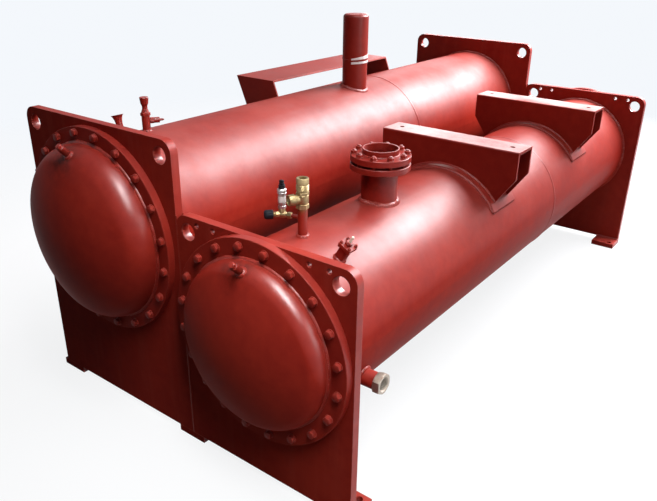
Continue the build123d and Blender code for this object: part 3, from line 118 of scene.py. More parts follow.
def place_camera():
    """Sets the camera at the viewpoint fitted to the photograph's straight edges."""
    yaw, pitch, roll = (math.radians(a) for a in CAMERA_TURN)
    ahead = Vector((math.sin(yaw) * math.cos(pitch), math.cos(yaw) * math.cos(pitch), -math.sin(pitch)))
    flat = Vector((math.cos(yaw), -math.sin(yaw), 0))
    above = flat.cross(ahead)
    right = math.cos(roll) * flat + math.sin(roll) * above
    up = -math.sin(roll) * flat + math.cos(roll) * above
    lens = bpy.data.cameras.new("photo_view")
    lens.sensor_width = SENSOR_WIDTH
    lens.lens = FOCAL_LENGTH
    lens.clip_end = FAR_CLIP
    camera = bpy.data.objects.new("photo_view", lens)
    turn = Matrix((right, up, -ahead)).transposed().to_4x4()
    camera.matrix_world = Matrix.Translation(CAMERA_PLACE) @ turn
    bpy.context.scene.collection.objects.link(camera)
    bpy.context.scene.camera = camera


# ---------------------------------------------------------------- shared shader groups
FLOAT = "NodeSocketFloat"
VECTOR = "NodeSocketVector"
BEVEL_SAMPLES = 6


class Graph:
    """A thin helper for wiring nodes in a material or a group."""

    def __init__(self, tree):
        self.tree = tree

    def node(self, kind, **settings):
        made = self.tree.nodes.new(kind)
        for key, value in settings.items():
            setattr(made, key, value)
        return made

    def link(self, source, target):
        self.tree.links.new(source, target)

    def feed(self, socket, value):
        """Links a socket's source, or sets its number or colour."""
        if value is None:
            return
        if isinstance(value, bpy.types.NodeSocket):
            self.link(value, socket)
        else:
            socket.default_value = value

    def math(self, operation, first, second=None, clamp=False):
        made = self.node("ShaderNodeMath", operation=operation, use_clamp=clamp)
        for socket, value in zip(made.inputs, (first, second)):
            self.feed(socket, value)
        return made.outputs[0]

    def masked(self, first, second, amount):
        """Product of two masks and an amount, kept between 0 and 1."""
        return self.math("MULTIPLY", self.math("MULTIPLY", first, second), amount, clamp=True)

    def measure(self, operation, first, second=None):
        """Number that a vector operation gives, such as a dot product or a distance."""
        made = self.node("ShaderNodeVectorMath", operation=operation)
        for socket, value in zip(made.inputs, (first, second)):
            self.feed(socket, value)
        return made.outputs["Value"]

    def mix(self, factor, first, second):
        made = self.node("ShaderNodeMix", data_type="RGBA")
        self.feed(made.inputs["Factor"], factor)
        self.feed(made.inputs[6], first)
        self.feed(made.inputs[7], second)
        return made.outputs[2]

    def noise(self, vector, scale, detail=4.0, rough=0.55):
        made = self.node("ShaderNodeTexNoise")
        self.feed(made.inputs["Vector"], vector)
        self.feed(made.inputs["Scale"], scale)
        made.inputs["Detail"].default_value = detail
        made.inputs["Roughness"].default_value = rough
        return made.outputs["Fac"]

    def remap(self, value, low, high, out_low=0.0, out_high=1.0):
        """Stretches low to high of a value, such as a noise's middle, over out_low to out_high."""
        made = self.node("ShaderNodeMapRange", clamp=True)
        for socket, number in zip(made.inputs, (value, low, high, out_low, out_high)):
            self.feed(socket, number)
        return made.outputs[0]

    def bevel(self, radius):
        made = self.node("ShaderNodeBevel", samples=BEVEL_SAMPLES)
        self.link(radius, made.inputs["Radius"])
        return made.outputs[0]

    def place(self):
        return self.node("ShaderNodeTexCoord").outputs["Object"]

    def normal(self):
        return self.node("ShaderNodeNewGeometry").outputs["Normal"]


def shader_group(name, inputs, outputs):
    tree = bpy.data.node_groups.new(name, "ShaderNodeTree")
    for label, kind, value in inputs:
        socket = tree.interface.new_socket(name=label, in_out="INPUT", socket_type=kind)
        socket.default_value = value
    for label, kind in outputs:
        tree.interface.new_socket(name=label, in_out="OUTPUT", socket_type=kind)
    graph = Graph(tree)
    return graph, graph.node("NodeGroupInput").outputs, graph.node("NodeGroupOutput").inputs


def make_edge_wear():
    """Mask: 1 on sharp outer edges, broken up by noise."""
    g, given, out = shader_group("edge_wear", [("Radius", FLOAT, 0.003), ("Strength", FLOAT, 1.0),
                                               ("Breakup", FLOAT, 60.0)], [("Mask", FLOAT)])
    still_flat, quite_sharp = 0.995, 0.80
    edge = g.remap(g.measure("DOT_PRODUCT", g.bevel(given["Radius"]), g.normal()), still_flat, quite_sharp)
    spots = g.remap(g.noise(g.place(), given["Breakup"], 5.0, 0.65), 0.36, 0.62)
    g.link(g.masked(edge, spots, given["Strength"]), out["Mask"])
    return g.tree


def make_settled_dust_and_sheen():
    """Mask: more on faces that look up, in soft clouds and fine specks; it lays dust, and on the saddles'
    flat tops also a painted sheen.
    """
    g, given, out = shader_group("settled_dust_and_sheen", [("Amount", FLOAT, 0.3), ("Cloud size", FLOAT, 3.0),
                                                  ("Level from", FLOAT, 0.1)], [("Mask", FLOAT)])
    speck_scale, cloud_share, speck_share = 420.0, 0.8, 0.5
    split = g.node("ShaderNodeSeparateXYZ")
    g.link(g.normal(), split.inputs[0])
    upward = g.remap(split.outputs["Z"], given["Level from"], 1.0)
    clouds = g.remap(g.noise(g.place(), given["Cloud size"], 6.0, 0.6), 0.35, 0.70)
    specks = g.remap(g.noise(g.place(), speck_scale, 2.0, 0.5), 0.62, 0.74)
    both = g.math("ADD", g.math("MULTIPLY", clouds, cloud_share), g.math("MULTIPLY", specks, speck_share))
    g.link(g.masked(both, upward, given["Amount"]), out["Mask"])
    return g.tree


def make_mottle():
    """Value around 0.5 that drifts over the surface at two sizes."""
    g, given, out = shader_group("mottle", [("Broad", FLOAT, 2.0), ("Fine", FLOAT, 25.0)], [("Value", FLOAT)])
    broad_share, fine_share = 0.6, 0.4
    broad = g.noise(g.place(), given["Broad"], 3.0)
    fine = g.noise(g.place(), given["Fine"], 6.0, 0.6)
    g.link(g.math("ADD", g.math("MULTIPLY", broad, broad_share), g.math("MULTIPLY", fine, fine_share)),
           out["Value"])
    return g.tree


def make_orange_peel():
    """Height of sprayed paint: fine dimples on a slow roll of the plate."""
    g, given, out = shader_group("orange_peel", [("Dimple", FLOAT, 260.0), ("Roll", FLOAT, 5.0),
                                                 ("Roll share", FLOAT, 0.5)], [("Height", FLOAT)])
    dimples = g.noise(g.place(), given["Dimple"], 2.0, 0.5)
    roll = g.noise(g.place(), given["Roll"], 2.0, 0.5)
    g.link(g.math("ADD", dimples, g.math("MULTIPLY", roll, given["Roll share"])), out["Height"])
    return g.tree


def make_streaks():
    """Mask: vertical streaks, as left by thinner, rain or wiping."""
    g, given, out = shader_group("streaks", [("Amount", FLOAT, 0.3), ("Count", FLOAT, 30.0)],
                                 [("Mask", FLOAT)])
    drawn_out = (1.0, 1.0, 0.05)
    squash = g.node("ShaderNodeMapping")
    squash.inputs["Scale"].default_value = drawn_out
    g.link(g.place(), squash.inputs["Vector"])
    lines = g.remap(g.noise(squash.outputs[0], given["Count"], 4.0, 0.6), 0.52, 0.75)
    g.link(g.math("MULTIPLY", lines, given["Amount"], clamp=True), out["Mask"])
    return g.tree


def make_dirt_and_shade_patch():
    """Mask: a soft patch around one point, used for dirt and for painted shade."""
    g, given, out = shader_group("dirt_and_shade_patch", [("Centre", VECTOR, (0, 0, 0)), ("Size", FLOAT, 0.1)],
                                 [("Mask", FLOAT)])
    cloud_scale, fall_off = 22.0, 0.8
    gap = g.measure("DISTANCE", g.place(), given["Centre"])
    near = g.math("SUBTRACT", 1.0, g.math("DIVIDE", gap, given["Size"]), clamp=True)
    cloud = g.remap(g.noise(g.place(), cloud_scale, 5.0, 0.65), 0.40, 0.66)
    g.link(g.math("MULTIPLY", g.math("POWER", near, fall_off), cloud, clamp=True), out["Mask"])
    return g.tree


def make_film_build():
    """Mask: where the sprayed film is thick and glossy, on faces that look a given way."""
    g, given, out = shader_group("film_build", [("Toward", VECTOR, (0, 0, 1)), ("Begins at", FLOAT, 0.05),
                                                ("Full at", FLOAT, 0.5), ("Amount", FLOAT, 1.0)],
                                 [("Mask", FLOAT)])
    broad_scale, broad_low = 3.1, 0.66
    fine_scale, fine_low = 17.0, 0.88
    dot = g.measure("DOT_PRODUCT", g.normal(), given["Toward"])
    facing = g.remap(dot, given["Begins at"], given["Full at"])
    broad = g.remap(g.noise(g.place(), broad_scale, 5.0, 0.62), 0.34, 0.60, broad_low, 1.0)
    fine = g.remap(g.noise(g.place(), fine_scale, 4.0, 0.6), 0.34, 0.56, fine_low, 1.0)
    g.link(g.masked(facing, g.math("MULTIPLY", broad, fine), given["Amount"]), out["Mask"])
    return g.tree


def make_soft_edge():
    """Normal that rolls over sharp edges, as paint does on sheared plate."""
    g, given, out = shader_group("soft_edge", [("Radius", FLOAT, 0.002)], [("Normal", VECTOR)])
    g.link(g.bevel(given["Radius"]), out["Normal"])
    return g.tree


GROUPS = {"edge_wear": make_edge_wear(), "settled_dust_and_sheen": make_settled_dust_and_sheen(), "mottle": make_mottle(),
          "orange_peel": make_orange_peel(), "streaks": make_streaks(), "dirt_and_shade_patch": make_dirt_and_shade_patch(),
          "film_build": make_film_build(), "soft_edge": make_soft_edge()}


def use(graph, group, **values):
    """Places a shared group and sets its inputs; returns its first output."""
    made = graph.node("ShaderNodeGroup", node_tree=GROUPS[group])
    for label, value in values.items():
        graph.feed(made.inputs[label.replace("_", " ")], value)
    return made.outputs[0]


# ---------------------------------------------------------------- materials
RED_DEEP = (0.190, 0.012, 0.008, 1)
RED = (0.258, 0.0205, 0.0118, 1)
RED_CHALK = (0.420, 0.105, 0.080, 1)
RED_SHADE = (0.075, 0.007, 0.006, 1)
GREY_DUST = (0.420, 0.210, 0.180, 1)
# Pale grey: dust, and on the saddles' flat tops a painted sheen
PALE_DUST_AND_SHEEN = (0.560, 0.500, 0.470, 1)
# Near-black brown: soot round the head vents, and painted shade on the discharge nozzle
SOOT_AND_SHADE = (0.022, 0.008, 0.006, 1)
OLIVE = (0.150, 0.085, 0.030, 1)
RUST_SPOT = (0.26, 0.17, 0.11, 1)
RUBBED_STEEL = (0.75, 0.73, 0.70, 1)
COAT_IOR = 2.2
COAT_SHARE = 0.46                     # coat weight where the paint film is as thick as it gets
PATCH_COVER = 0.8


def start_material(name):
    made = bpy.data.materials.new(name)
    made.use_nodes = True
    made.node_tree.nodes.clear()
    g = Graph(made.node_tree)
    shader = g.node("ShaderNodeBsdfPrincipled")
    g.link(shader.outputs[0], g.node("ShaderNodeOutputMaterial").inputs["Surface"])
    return made, g, shader


def bump(graph, shader, height, distance, edge):
    """Bump on the shader's normal, over soft edges where an edge radius is given."""
    made = graph.node("ShaderNodeBump")
    made.inputs["Distance"].default_value = distance
    graph.link(height, made.inputs["Height"])
    if edge:
        graph.link(use(graph, "soft_edge", Radius=edge), made.inputs["Normal"])
    graph.link(made.outputs[0], shader.inputs["Normal"])


def tinted(tone, factor, lift=0.0):
    """A tone made darker or paler."""
    return tuple(min(1, c * factor + lift) for c in tone[:3]) + (1,)


def red_oxide(name, rough=0.48, film=0.9, toward=(0, 0, 1), begins=0.05, full=0.5, film_rough=0.40,
              gloss=0.045, dust=0.25, dust_and_sheen_tone=GREY_DUST, dust_cover=0.45, dust_from=0.1, streaks=0.0,
              patches=(), peel=0.00012, wear=0.7, edge=0.0025):
    """Red oxide paint with drift, chalky edges, dust that on the saddles' flat tops is also a painted sheen,
    patches of dirt and of painted shade, and a glossy film where it is thick.
    """
    made, g, shader = start_material(name)
    drift = use(g, "mottle", Broad=1.7, Fine=24.0)
    colour = g.mix(g.remap(drift, 0.36, 0.64), RED_DEEP, RED)
    colour = g.mix(use(g, "edge_wear", Radius=0.0035, Strength=wear, Breakup=45.0), colour, RED_CHALK)
    dust_and_sheen = use(g, "settled_dust_and_sheen", Amount=dust, Cloud_size=2.6, Level_from=dust_from)
    colour = g.mix(g.math("MULTIPLY", dust_and_sheen, dust_cover), colour, dust_and_sheen_tone)
    if streaks:
        colour = g.mix(use(g, "streaks", Amount=streaks, Count=26.0), colour, RED_CHALK)
    for centre, size, tone in patches:
        patch = use(g, "dirt_and_shade_patch", Centre=centre, Size=size)
        colour = g.mix(g.math("MULTIPLY", patch, PATCH_COVER), colour, tone)
    g.link(colour, shader.inputs["Base Color"])
    g.link(g.math("ADD", g.remap(drift, 0.3, 0.7, rough - 0.05, rough + 0.06),
                  g.math("MULTIPLY", dust_and_sheen, 0.25), clamp=True), shader.inputs["Roughness"])
    shader.inputs["Specular IOR Level"].default_value = gloss
    shader.inputs["Coat Roughness"].default_value = film_rough
    shader.inputs["Coat IOR"].default_value = COAT_IOR
    g.link(use(g, "film_build", Toward=toward, Begins_at=begins, Full_at=full, Amount=film * COAT_SHARE),
           shader.inputs["Coat Weight"])
    bump(g, shader, use(g, "orange_peel", Dimple=210.0, Roll=6.0, Roll_share=4.0), peel, edge)
    return made


def cast_brass(name, tone, rough):
    """Turned brass that has gone dull, with brown in its corners."""
    made, g, shader = start_material(name)
    drift = use(g, "mottle", Broad=30.0, Fine=220.0)
    colour = g.mix(g.remap(drift, 0.34, 0.66), tinted(tone, 0.55), tone)
    rubbed = use(g, "edge_wear", Radius=0.0012, Strength=0.9, Breakup=160.0)
    g.link(g.mix(rubbed, colour, tinted(tone, 1.35)), shader.inputs["Base Color"])
    shader.inputs["Metallic"].default_value = 1.0
    g.link(g.remap(drift, 0.3, 0.7, rough - 0.08, rough + 0.12), shader.inputs["Roughness"])
    bump(g, shader, use(g, "orange_peel", Dimple=900.0, Roll=80.0, Roll_share=0.6),
         distance=0.00005, edge=0.0006)
    return made


def bare_steel(name, tone, rough):
    """Machined steel with a dull skin and faint brown spots."""
    made, g, shader = start_material(name)
    drift = use(g, "mottle", Broad=40.0, Fine=260.0)
    spots = g.remap(drift, 0.55, 0.72)
    rubbed = use(g, "edge_wear", Radius=0.001, Strength=0.8, Breakup=200.0)
    g.link(g.mix(rubbed, g.mix(spots, tone, RUST_SPOT), RUBBED_STEEL), shader.inputs["Base Color"])
    g.link(g.remap(spots, 0.0, 1.0, 0.95, 0.45), shader.inputs["Metallic"])
    g.link(g.remap(drift, 0.3, 0.7, rough - 0.1, rough + 0.15), shader.inputs["Roughness"])
    bump(g, shader, use(g, "orange_peel", Dimple=1100.0, Roll=90.0, Roll_share=0.4),
         distance=0.00004, edge=0.0006)
    return made


def moulded(name, tone, rough=0.5, gloss=0.5):
    """Moulded plastic or pressed fibre with a fine grain and worn edges."""
    made, g, shader = start_material(name)
    drift = use(g, "mottle", Broad=35.0, Fine=300.0)
    colour = g.mix(g.remap(drift, 0.35, 0.65), tinted(tone, 0.85), tone)
    rubbed = use(g, "edge_wear", Radius=0.0008, Strength=0.6, Breakup=220.0)
    g.link(g.mix(rubbed, colour, tinted(tone, 1.5, 0.02)), shader.inputs["Base Color"])
    g.link(g.remap(drift, 0.3, 0.7, rough - 0.06, rough + 0.08), shader.inputs["Roughness"])
    shader.inputs["Specular IOR Level"].default_value = gloss
    bump(g, shader, use(g, "orange_peel", Dimple=1500.0, Roll=60.0, Roll_share=0.2),
         distance=0.00004, edge=0.0008)
    return made


# Middles of the patches: soot round the head vents, an olive tone on the nipple, and painted shade on the
# nozzle's foot and on the purge valve's body
EVAPORATOR_VENT = (-0.395, -1.700, 1.085)
CONDENSER_VENT = (0.405, -1.668, 0.878)
NOZZLE_SHADE_SPOT = (0.41, -0.97, 0.985)
NIPPLE_TOP = (0.437, -1.378, 0.992)
PURGE_BODY = (0.615, -1.360, 0.895)

# What each family of painted parts has in common
UP_AND_RIGHT = (0.45, 0.0, 0.89)
SHELL_FINISH = {"toward": (0.5, 0.0, 0.866), "begins": 0.60, "full": 0.95, "dust": 0.30}
HEAD_FINISH = {"toward": UP_AND_RIGHT, "begins": 0.35, "full": 0.9, "film_rough": 0.34, "dust": 0.10}
SHEET_FINISH = {"film": 0.7, "toward": (0.7, 0.0, 0.7), "dust": 0.15, "streaks": 0.08}
SMALL_FINISH = {"rough": 0.42, "toward": UP_AND_RIGHT, "film_rough": 0.32, "dust": 0.2, "peel": 0.00008}

paint_evaporator_shell = red_oxide("oxide_paint_evaporator_shell", film=1.1, film_rough=0.50, gloss=0.010,
                                   **SHELL_FINISH)
paint_condenser_shell = red_oxide("oxide_paint_condenser_shell", film=0.82, film_rough=0.43, gloss=0.015,
                                  **SHELL_FINISH)
paint_evaporator_head = red_oxide("oxide_paint_evaporator_head", film=0.85, gloss=0.015,
                                  patches=[(EVAPORATOR_VENT, 0.11, SOOT_AND_SHADE)], **HEAD_FINISH)
paint_condenser_head = red_oxide("oxide_paint_condenser_head", film=1.35, gloss=0.012,
                                 patches=[(CONDENSER_VENT, 0.09, SOOT_AND_SHADE)], **HEAD_FINISH)
paint_sheet = red_oxide("oxide_paint_sheet", gloss=0.005, **SHEET_FINISH)
paint_rear_sheet = red_oxide("oxide_paint_rear_sheet", gloss=0.055, **SHEET_FINISH)
paint_bore = red_oxide("oxide_paint_bore", film=1.6, full=0.9, film_rough=0.30, dust=0.6)
paint_inside = red_oxide("oxide_paint_inside", rough=0.55, film=0.0, gloss=0.03, dust=0.0, wear=0.0, edge=0)
# The saddles' flat tops are laid over pale: dust, and a painted sheen of the overhead light
paint_saddle = red_oxide("oxide_paint_saddle", dust=1.2, dust_and_sheen_tone=PALE_DUST_AND_SHEEN, dust_cover=0.8, dust_from=0.97)
paint_bracket = red_oxide("oxide_paint_bracket", film=0.5, gloss=0.08)
# The dark patch at the nozzle's foot is painted shade
paint_nozzle = red_oxide("oxide_paint_nozzle", film=0.5, edge=0.0012,
                         patches=[(NOZZLE_SHADE_SPOT, 0.105, SOOT_AND_SHADE)], **SMALL_FINISH)
paint_fitting = red_oxide("oxide_paint_fitting", film=0.8, full=0.9, wear=0.45, edge=0.0012, **SMALL_FINISH)
paint_nipple = red_oxide("oxide_paint_nipple", film=0.8, edge=0.0008,
                         patches=[(NIPPLE_TOP, 0.045, OLIVE)], **SMALL_FINISH)
# The darker patch over the valve's body is painted shade
paint_purge = red_oxide("oxide_paint_purge", rough=0.50, film=0.4, toward=UP_AND_RIGHT, film_rough=0.38,
                        dust=0.1, peel=0.00008, edge=0.0008, patches=[(PURGE_BODY, 0.11, RED_SHADE)])
paint_weld = red_oxide("oxide_paint_weld", rough=0.42, film=0.72, film_rough=0.38, dust=0.2, peel=0.0003,
                       edge=0)
brass = cast_brass("dull_brass", (0.43, 0.33, 0.17, 1), rough=0.46)
steel = bare_steel("machined_steel", (0.33, 0.29, 0.24, 1), rough=0.45)
stainless = bare_steel("transducer_steel", (0.42, 0.41, 0.40, 1), rough=0.32)
black_cap = moulded("black_cap_plastic", (0.007, 0.007, 0.011, 1), gloss=0.15)
gasket_fibre = moulded("gasket_fibre", (0.045, 0.028, 0.025, 1), rough=0.7)
pale_pin = moulded("pale_pin_plastic", (0.70, 0.62, 0.50, 1))
label_white = moulded("plain_label", (0.60, 0.59, 0.57, 1), rough=0.45)
tape_white = moulded("tape_strip", (0.82, 0.80, 0.78, 1), rough=0.55)

SLOT_LOOKS = {"brass": brass, "stainless": stainless, "zinc_steel": steel, "black_plastic": black_cap,
              "gasket_fibre": gasket_fibre, "pale_plastic": pale_pin}
NODE_PAINTS = {"evaporator_shell": paint_evaporator_shell, "condenser_shell": paint_condenser_shell,
               "control_bracket": paint_bracket, "relief_stub": paint_nipple, "purge_valve": paint_purge,
               "discharge_nozzle": paint_nozzle}
HEAD_PAINTS = {"evaporator": paint_evaporator_head, "condenser": paint_condenser_head}


def paint_of(name):
    """The red oxide finish of a painted solid."""
    if name in NODE_PAINTS:
        return NODE_PAINTS[name]
    if name.startswith("saddle"):
        return paint_saddle
    if "tube_sheet" in name or "foot" in name:
        return paint_rear_sheet if "rear" in name else paint_sheet
    if name.endswith("head"):
        return HEAD_PAINTS[name.split("_")[0]]
    return paint_fitting


def dress_cad_nodes():
    """Gives every carried-over solid its finish."""
    slots = {row["node"]: row["material_slot"] for row in frame["record"]["subparts"]}
    for name, piece in nodes.items():
        piece.data.materials.clear()
        piece.data.materials.append(SLOT_LOOKS.get(slots[name]) or paint_of(name))


# ---------------------------------------------------------------- mesh builders
SMOOTH_UNDER = 35                     # degrees between faces that still shade as one surface


def add_piece(name, points, faces, look, sharp_angle):
    """Makes one mesh piece that rides on the whole unit."""
    mesh = bpy.data.meshes.new(name)
    mesh.from_pydata([tuple(p) for p in points], [], faces)
    mesh.validate()
    shape = bmesh.new()
    shape.from_mesh(mesh)
    bmesh.ops.recalc_face_normals(shape, faces=shape.faces)
    shape.to_mesh(mesh)
    shape.free()
    mesh.materials.append(look)
    piece = bpy.data.objects.new(name, mesh)
    bpy.context.scene.collection.objects.link(piece)
    mesh.polygons.foreach_set("use_smooth", [True] * len(mesh.polygons))
    mesh.set_sharp_from_angle(angle=math.radians(sharp_angle))
    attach(piece, "root")
    return piece


def side_axes(axis):
    """Two unit vectors square to an axis."""
    first = axis.cross(Z_AXIS if abs(axis.z) < 0.9 else X_AXIS).normalized()
    return first, axis.cross(first).normalized()


def spokes(axis, count):
    """Unit vectors square to an axis, evenly round it."""
    first, second = side_axes(axis)
    angles = [FULL_TURN * k / count for k in range(count)]
    return [first * math.cos(a) + second * math.sin(a) for a in angles]


def mm(*pairs):
    """(radius, height) pairs given in millimetres, as metres."""
    return [(radius / 1000, height / 1000) for radius, height in pairs]


def thread_points(root, crest, start, length, pitch):
    """(radius, height) points of a ridged thread, in metres."""
    points = []
    for k in range(int(length / pitch)):
        points += [(root, start + pitch * k), (crest, start + pitch * (k + 0.5))]
    return points


class Batch:
    """Collects many small shapes into one mesh."""

    def __init__(self):
        self.points = []
        self.faces = []

    def rings(self, rings, closed_loop=False):
        """Skins a list of equal point rings, and caps its ends where it has any."""
        count, start = len(rings[0]), len(self.points)
        self.points += [p for ring in rings for p in ring]
        spans = len(rings) if closed_loop else len(rings) - 1
        for i in range(spans):
            a, b = start + i * count, start + (i + 1) % len(rings) * count
            for j in range(count):
                k = (j + 1) % count
                self.faces.append((a + j, a + k, b + k, b + j))
        if not closed_loop:
            end = len(self.points)
            self.faces.append(tuple(reversed(range(start, start + count))))
            self.faces.append(tuple(range(end - count, end)))

    def lathe(self, base, axis, profile, sides):
        """Turns a list of (radius, height) about an axis from base."""
        outs = spokes(axis, sides)
        self.rings([[base + axis * height + out * radius for out in outs] for radius, height in profile])

    def hoop(self, centre, axis, section, sides):
        """Turns a closed (radius, height) section about an axis, for the lining of a bore."""
        self.rings([[centre + out * radius + axis * height for radius, height in section]
                    for out in spokes(axis, sides)], closed_loop=True)

    def hexagon(self, base, axis, flats, height, turn):
        """A hexagon head or nut with a chamfered crown."""
        crown, sides, sixth = 0.12, 24, math.pi / 3
        corner = flats / math.sqrt(3)
        first, second = side_axes(axis)

        def ring(reach_share, rise):
            made = []
            for k in range(sides):
                a = turn + FULL_TURN * k / sides
                sector = (a - turn) % sixth - sixth / 2
                reach = min(flats / 2 / math.cos(sector), corner * reach_share)
                made.append(base + axis * rise + (first * math.cos(a) + second * math.sin(a)) * reach)
            return made

        self.rings([ring(1.0, 0.0), ring(1.0, height * (1 - crown)), ring(0.90, height * (1 - crown / 3)),
                    ring(0.82, height)])

    def make(self, name, look, sharp_angle=SMOOTH_UNDER):
        return add_piece(name, self.points, self.faces, look, sharp_angle)


def chance_turn():
    """The angle at which a tightened hexagon happens to stop: anything up to a sixth of a turn."""
    return random.uniform(0, 1.05)


def hexagon_on_washer(batch, base, axis, washer, flats, height, sides):
    """A bolt head or nut on its washer, given as its radius, height and chamfer."""
    radius, tall, chamfer = washer
    edge, inner_r, sunk = 0.0004, 0.004, 0.0002
    profile = [(radius, 0), (radius, tall - edge), (radius - chamfer, tall), (inner_r, tall)]
    batch.lathe(base, axis, profile, sides)
    batch.hexagon(base + axis * (tall - sunk), axis, flats, height, chance_turn())


# ---------------------------------------------------------------- weld builders
RIPPLE = 0.0032                       # distance between a bead's stations
SEAT_RIPPLE = 0.0028


def bead_wave(step):
    """Height of a weld's ripple at a station, so that every second station stands proud."""
    return 0.75 * (step % 2) + random.uniform(0, 0.25)


def fillet_bead(batch, path, leg, closed):
    """A weld fillet along (root, along_a, along_b) stations, with stacked ripples."""
    bulge, buried = 0.18, 0.0015
    plain, rippled, drifting = 0.95, 0.07, 0.10
    rings = []
    start = random.uniform(0, 6)
    for step, (root, a, b) in enumerate(path):
        wave = bead_wave(step)
        drift = math.sin(start + step / 4.1) * math.sin(start + step / 11.6)
        size = leg * (plain + rippled * wave + drifting * drift)
        section = []
        for share in (0.0, 0.25, 0.5, 0.75, 1.0):
            lift = bulge * math.sin(math.pi * share) * (0.7 + 0.5 * wave)
            section.append(root + a * size * (1 - share + lift) + b * size * (share + lift))
        section.append(root - (a + b) * buried)
        rings.append(section)
    batch.rings(rings, closed_loop=closed)


def butt_bead(batch, path, width, height, closed):
    """A flat weld cap along (point, across, outward) stations."""
    sunk, buried = 0.0004, 0.0015
    half_plain, half_rippled = 0.49, 0.03
    tall_plain, tall_rippled = 0.85, 0.25
    rings = []
    for step, (point, across, outward) in enumerate(path):
        wave = bead_wave(step)
        w = width * (half_plain + half_rippled * wave)
        h = height * (tall_plain + tall_rippled * wave)
        section = [point + across * w * s + outward * (h * (1 - s * s) - sunk) for s in (-1, -0.6, 0, 0.6, 1)]
        section.append(point - outward * buried)
        rings.append(section)
    batch.rings(rings, closed_loop=closed)


def circle_stations(centre, axis, radius, step=RIPPLE):
    """Points around a circle, with their outward directions."""
    count = max(24, int(radius * FULL_TURN / step))
    return [(centre + out * radius, out) for out in spokes(axis, count)]


def ring_fillet(batch, centre, axis, radius, leg):
    """Fillet where a round wall meets a flat face; axis points along the wall."""
    fillet_bead(batch, [(p, out, axis) for p, out in circle_stations(centre, axis, radius)], leg, True)


def ring_cap(batch, centre, axis, radius, width, height, step=RIPPLE):
    """Flat cap of a seam round a pipe or shell."""
    path = [(p, axis, out) for p, out in circle_stations(centre, axis, radius, step)]
    butt_bead(batch, path, width, height, True)


def shell_skin(centre, radius):
    """Distance outside a vessel shell that lies along Y."""
    return lambda p: math.hypot(p.x - centre.x, p.z - centre.z) - radius


def seat_weld(batch, outside, foot, axis, pipe_r, leg, reach=0.08):
    """Fillet where a round pipe, through foot along axis, comes out of a curved wall."""
    nudge = 0.0005
    path = []
    for out in spokes(axis, max(24, int(FULL_TURN * pipe_r / SEAT_RIPPLE))):
        low, high = -reach, reach
        for _ in range(30):
            middle = (low + high) / 2
            if outside(foot + out * pipe_r + axis * middle) < 0:
                low = middle
            else:
                high = middle
        seat = foot + out * pipe_r + axis * high
        normal = Vector([outside(seat + d * nudge) - outside(seat - d * nudge)
                         for d in (X_AXIS, Y_AXIS, Z_AXIS)]).normalized()
        along = (out - normal * out.dot(normal)).normalized()
        path.append((seat, along, axis))
    fillet_bead(batch, path, leg, True)


def arc_fillet(batch, centre, y, radius, low, high, along_y, leg):
    """Fillet on a shell beside a plate that stands square to Y; angles in degrees from vertical."""
    low, high = math.radians(low), math.radians(high)
    count = max(12, int(radius * abs(high - low) / RIPPLE))
    path = []
    for k in range(count + 1):
        a = low + (high - low) * k / count
        out = Vector((math.sin(a), 0, math.cos(a)))
        path.append((Vector((centre.x, y, centre.z)) + out * radius, along_y, out))
    fillet_bead(batch, path, leg, False)


def line_fillet(batch, start, end, a, b, leg):
    """Fillet along a straight line, with legs along a and b."""
    count = max(4, int((end - start).length / RIPPLE))
    fillet_bead(batch, [(start.lerp(end, k / count), a, b) for k in range(count + 1)], leg, False)


# ---------------------------------------------------------------- dished heads
DISH_START = 0.038
HEAD_FLANGE = 0.030
HEAD_WALL = 0.010
HEAD_CHAMFER = 0.0015
HEAD_BOLTS = 20
VENT_R = 0.013


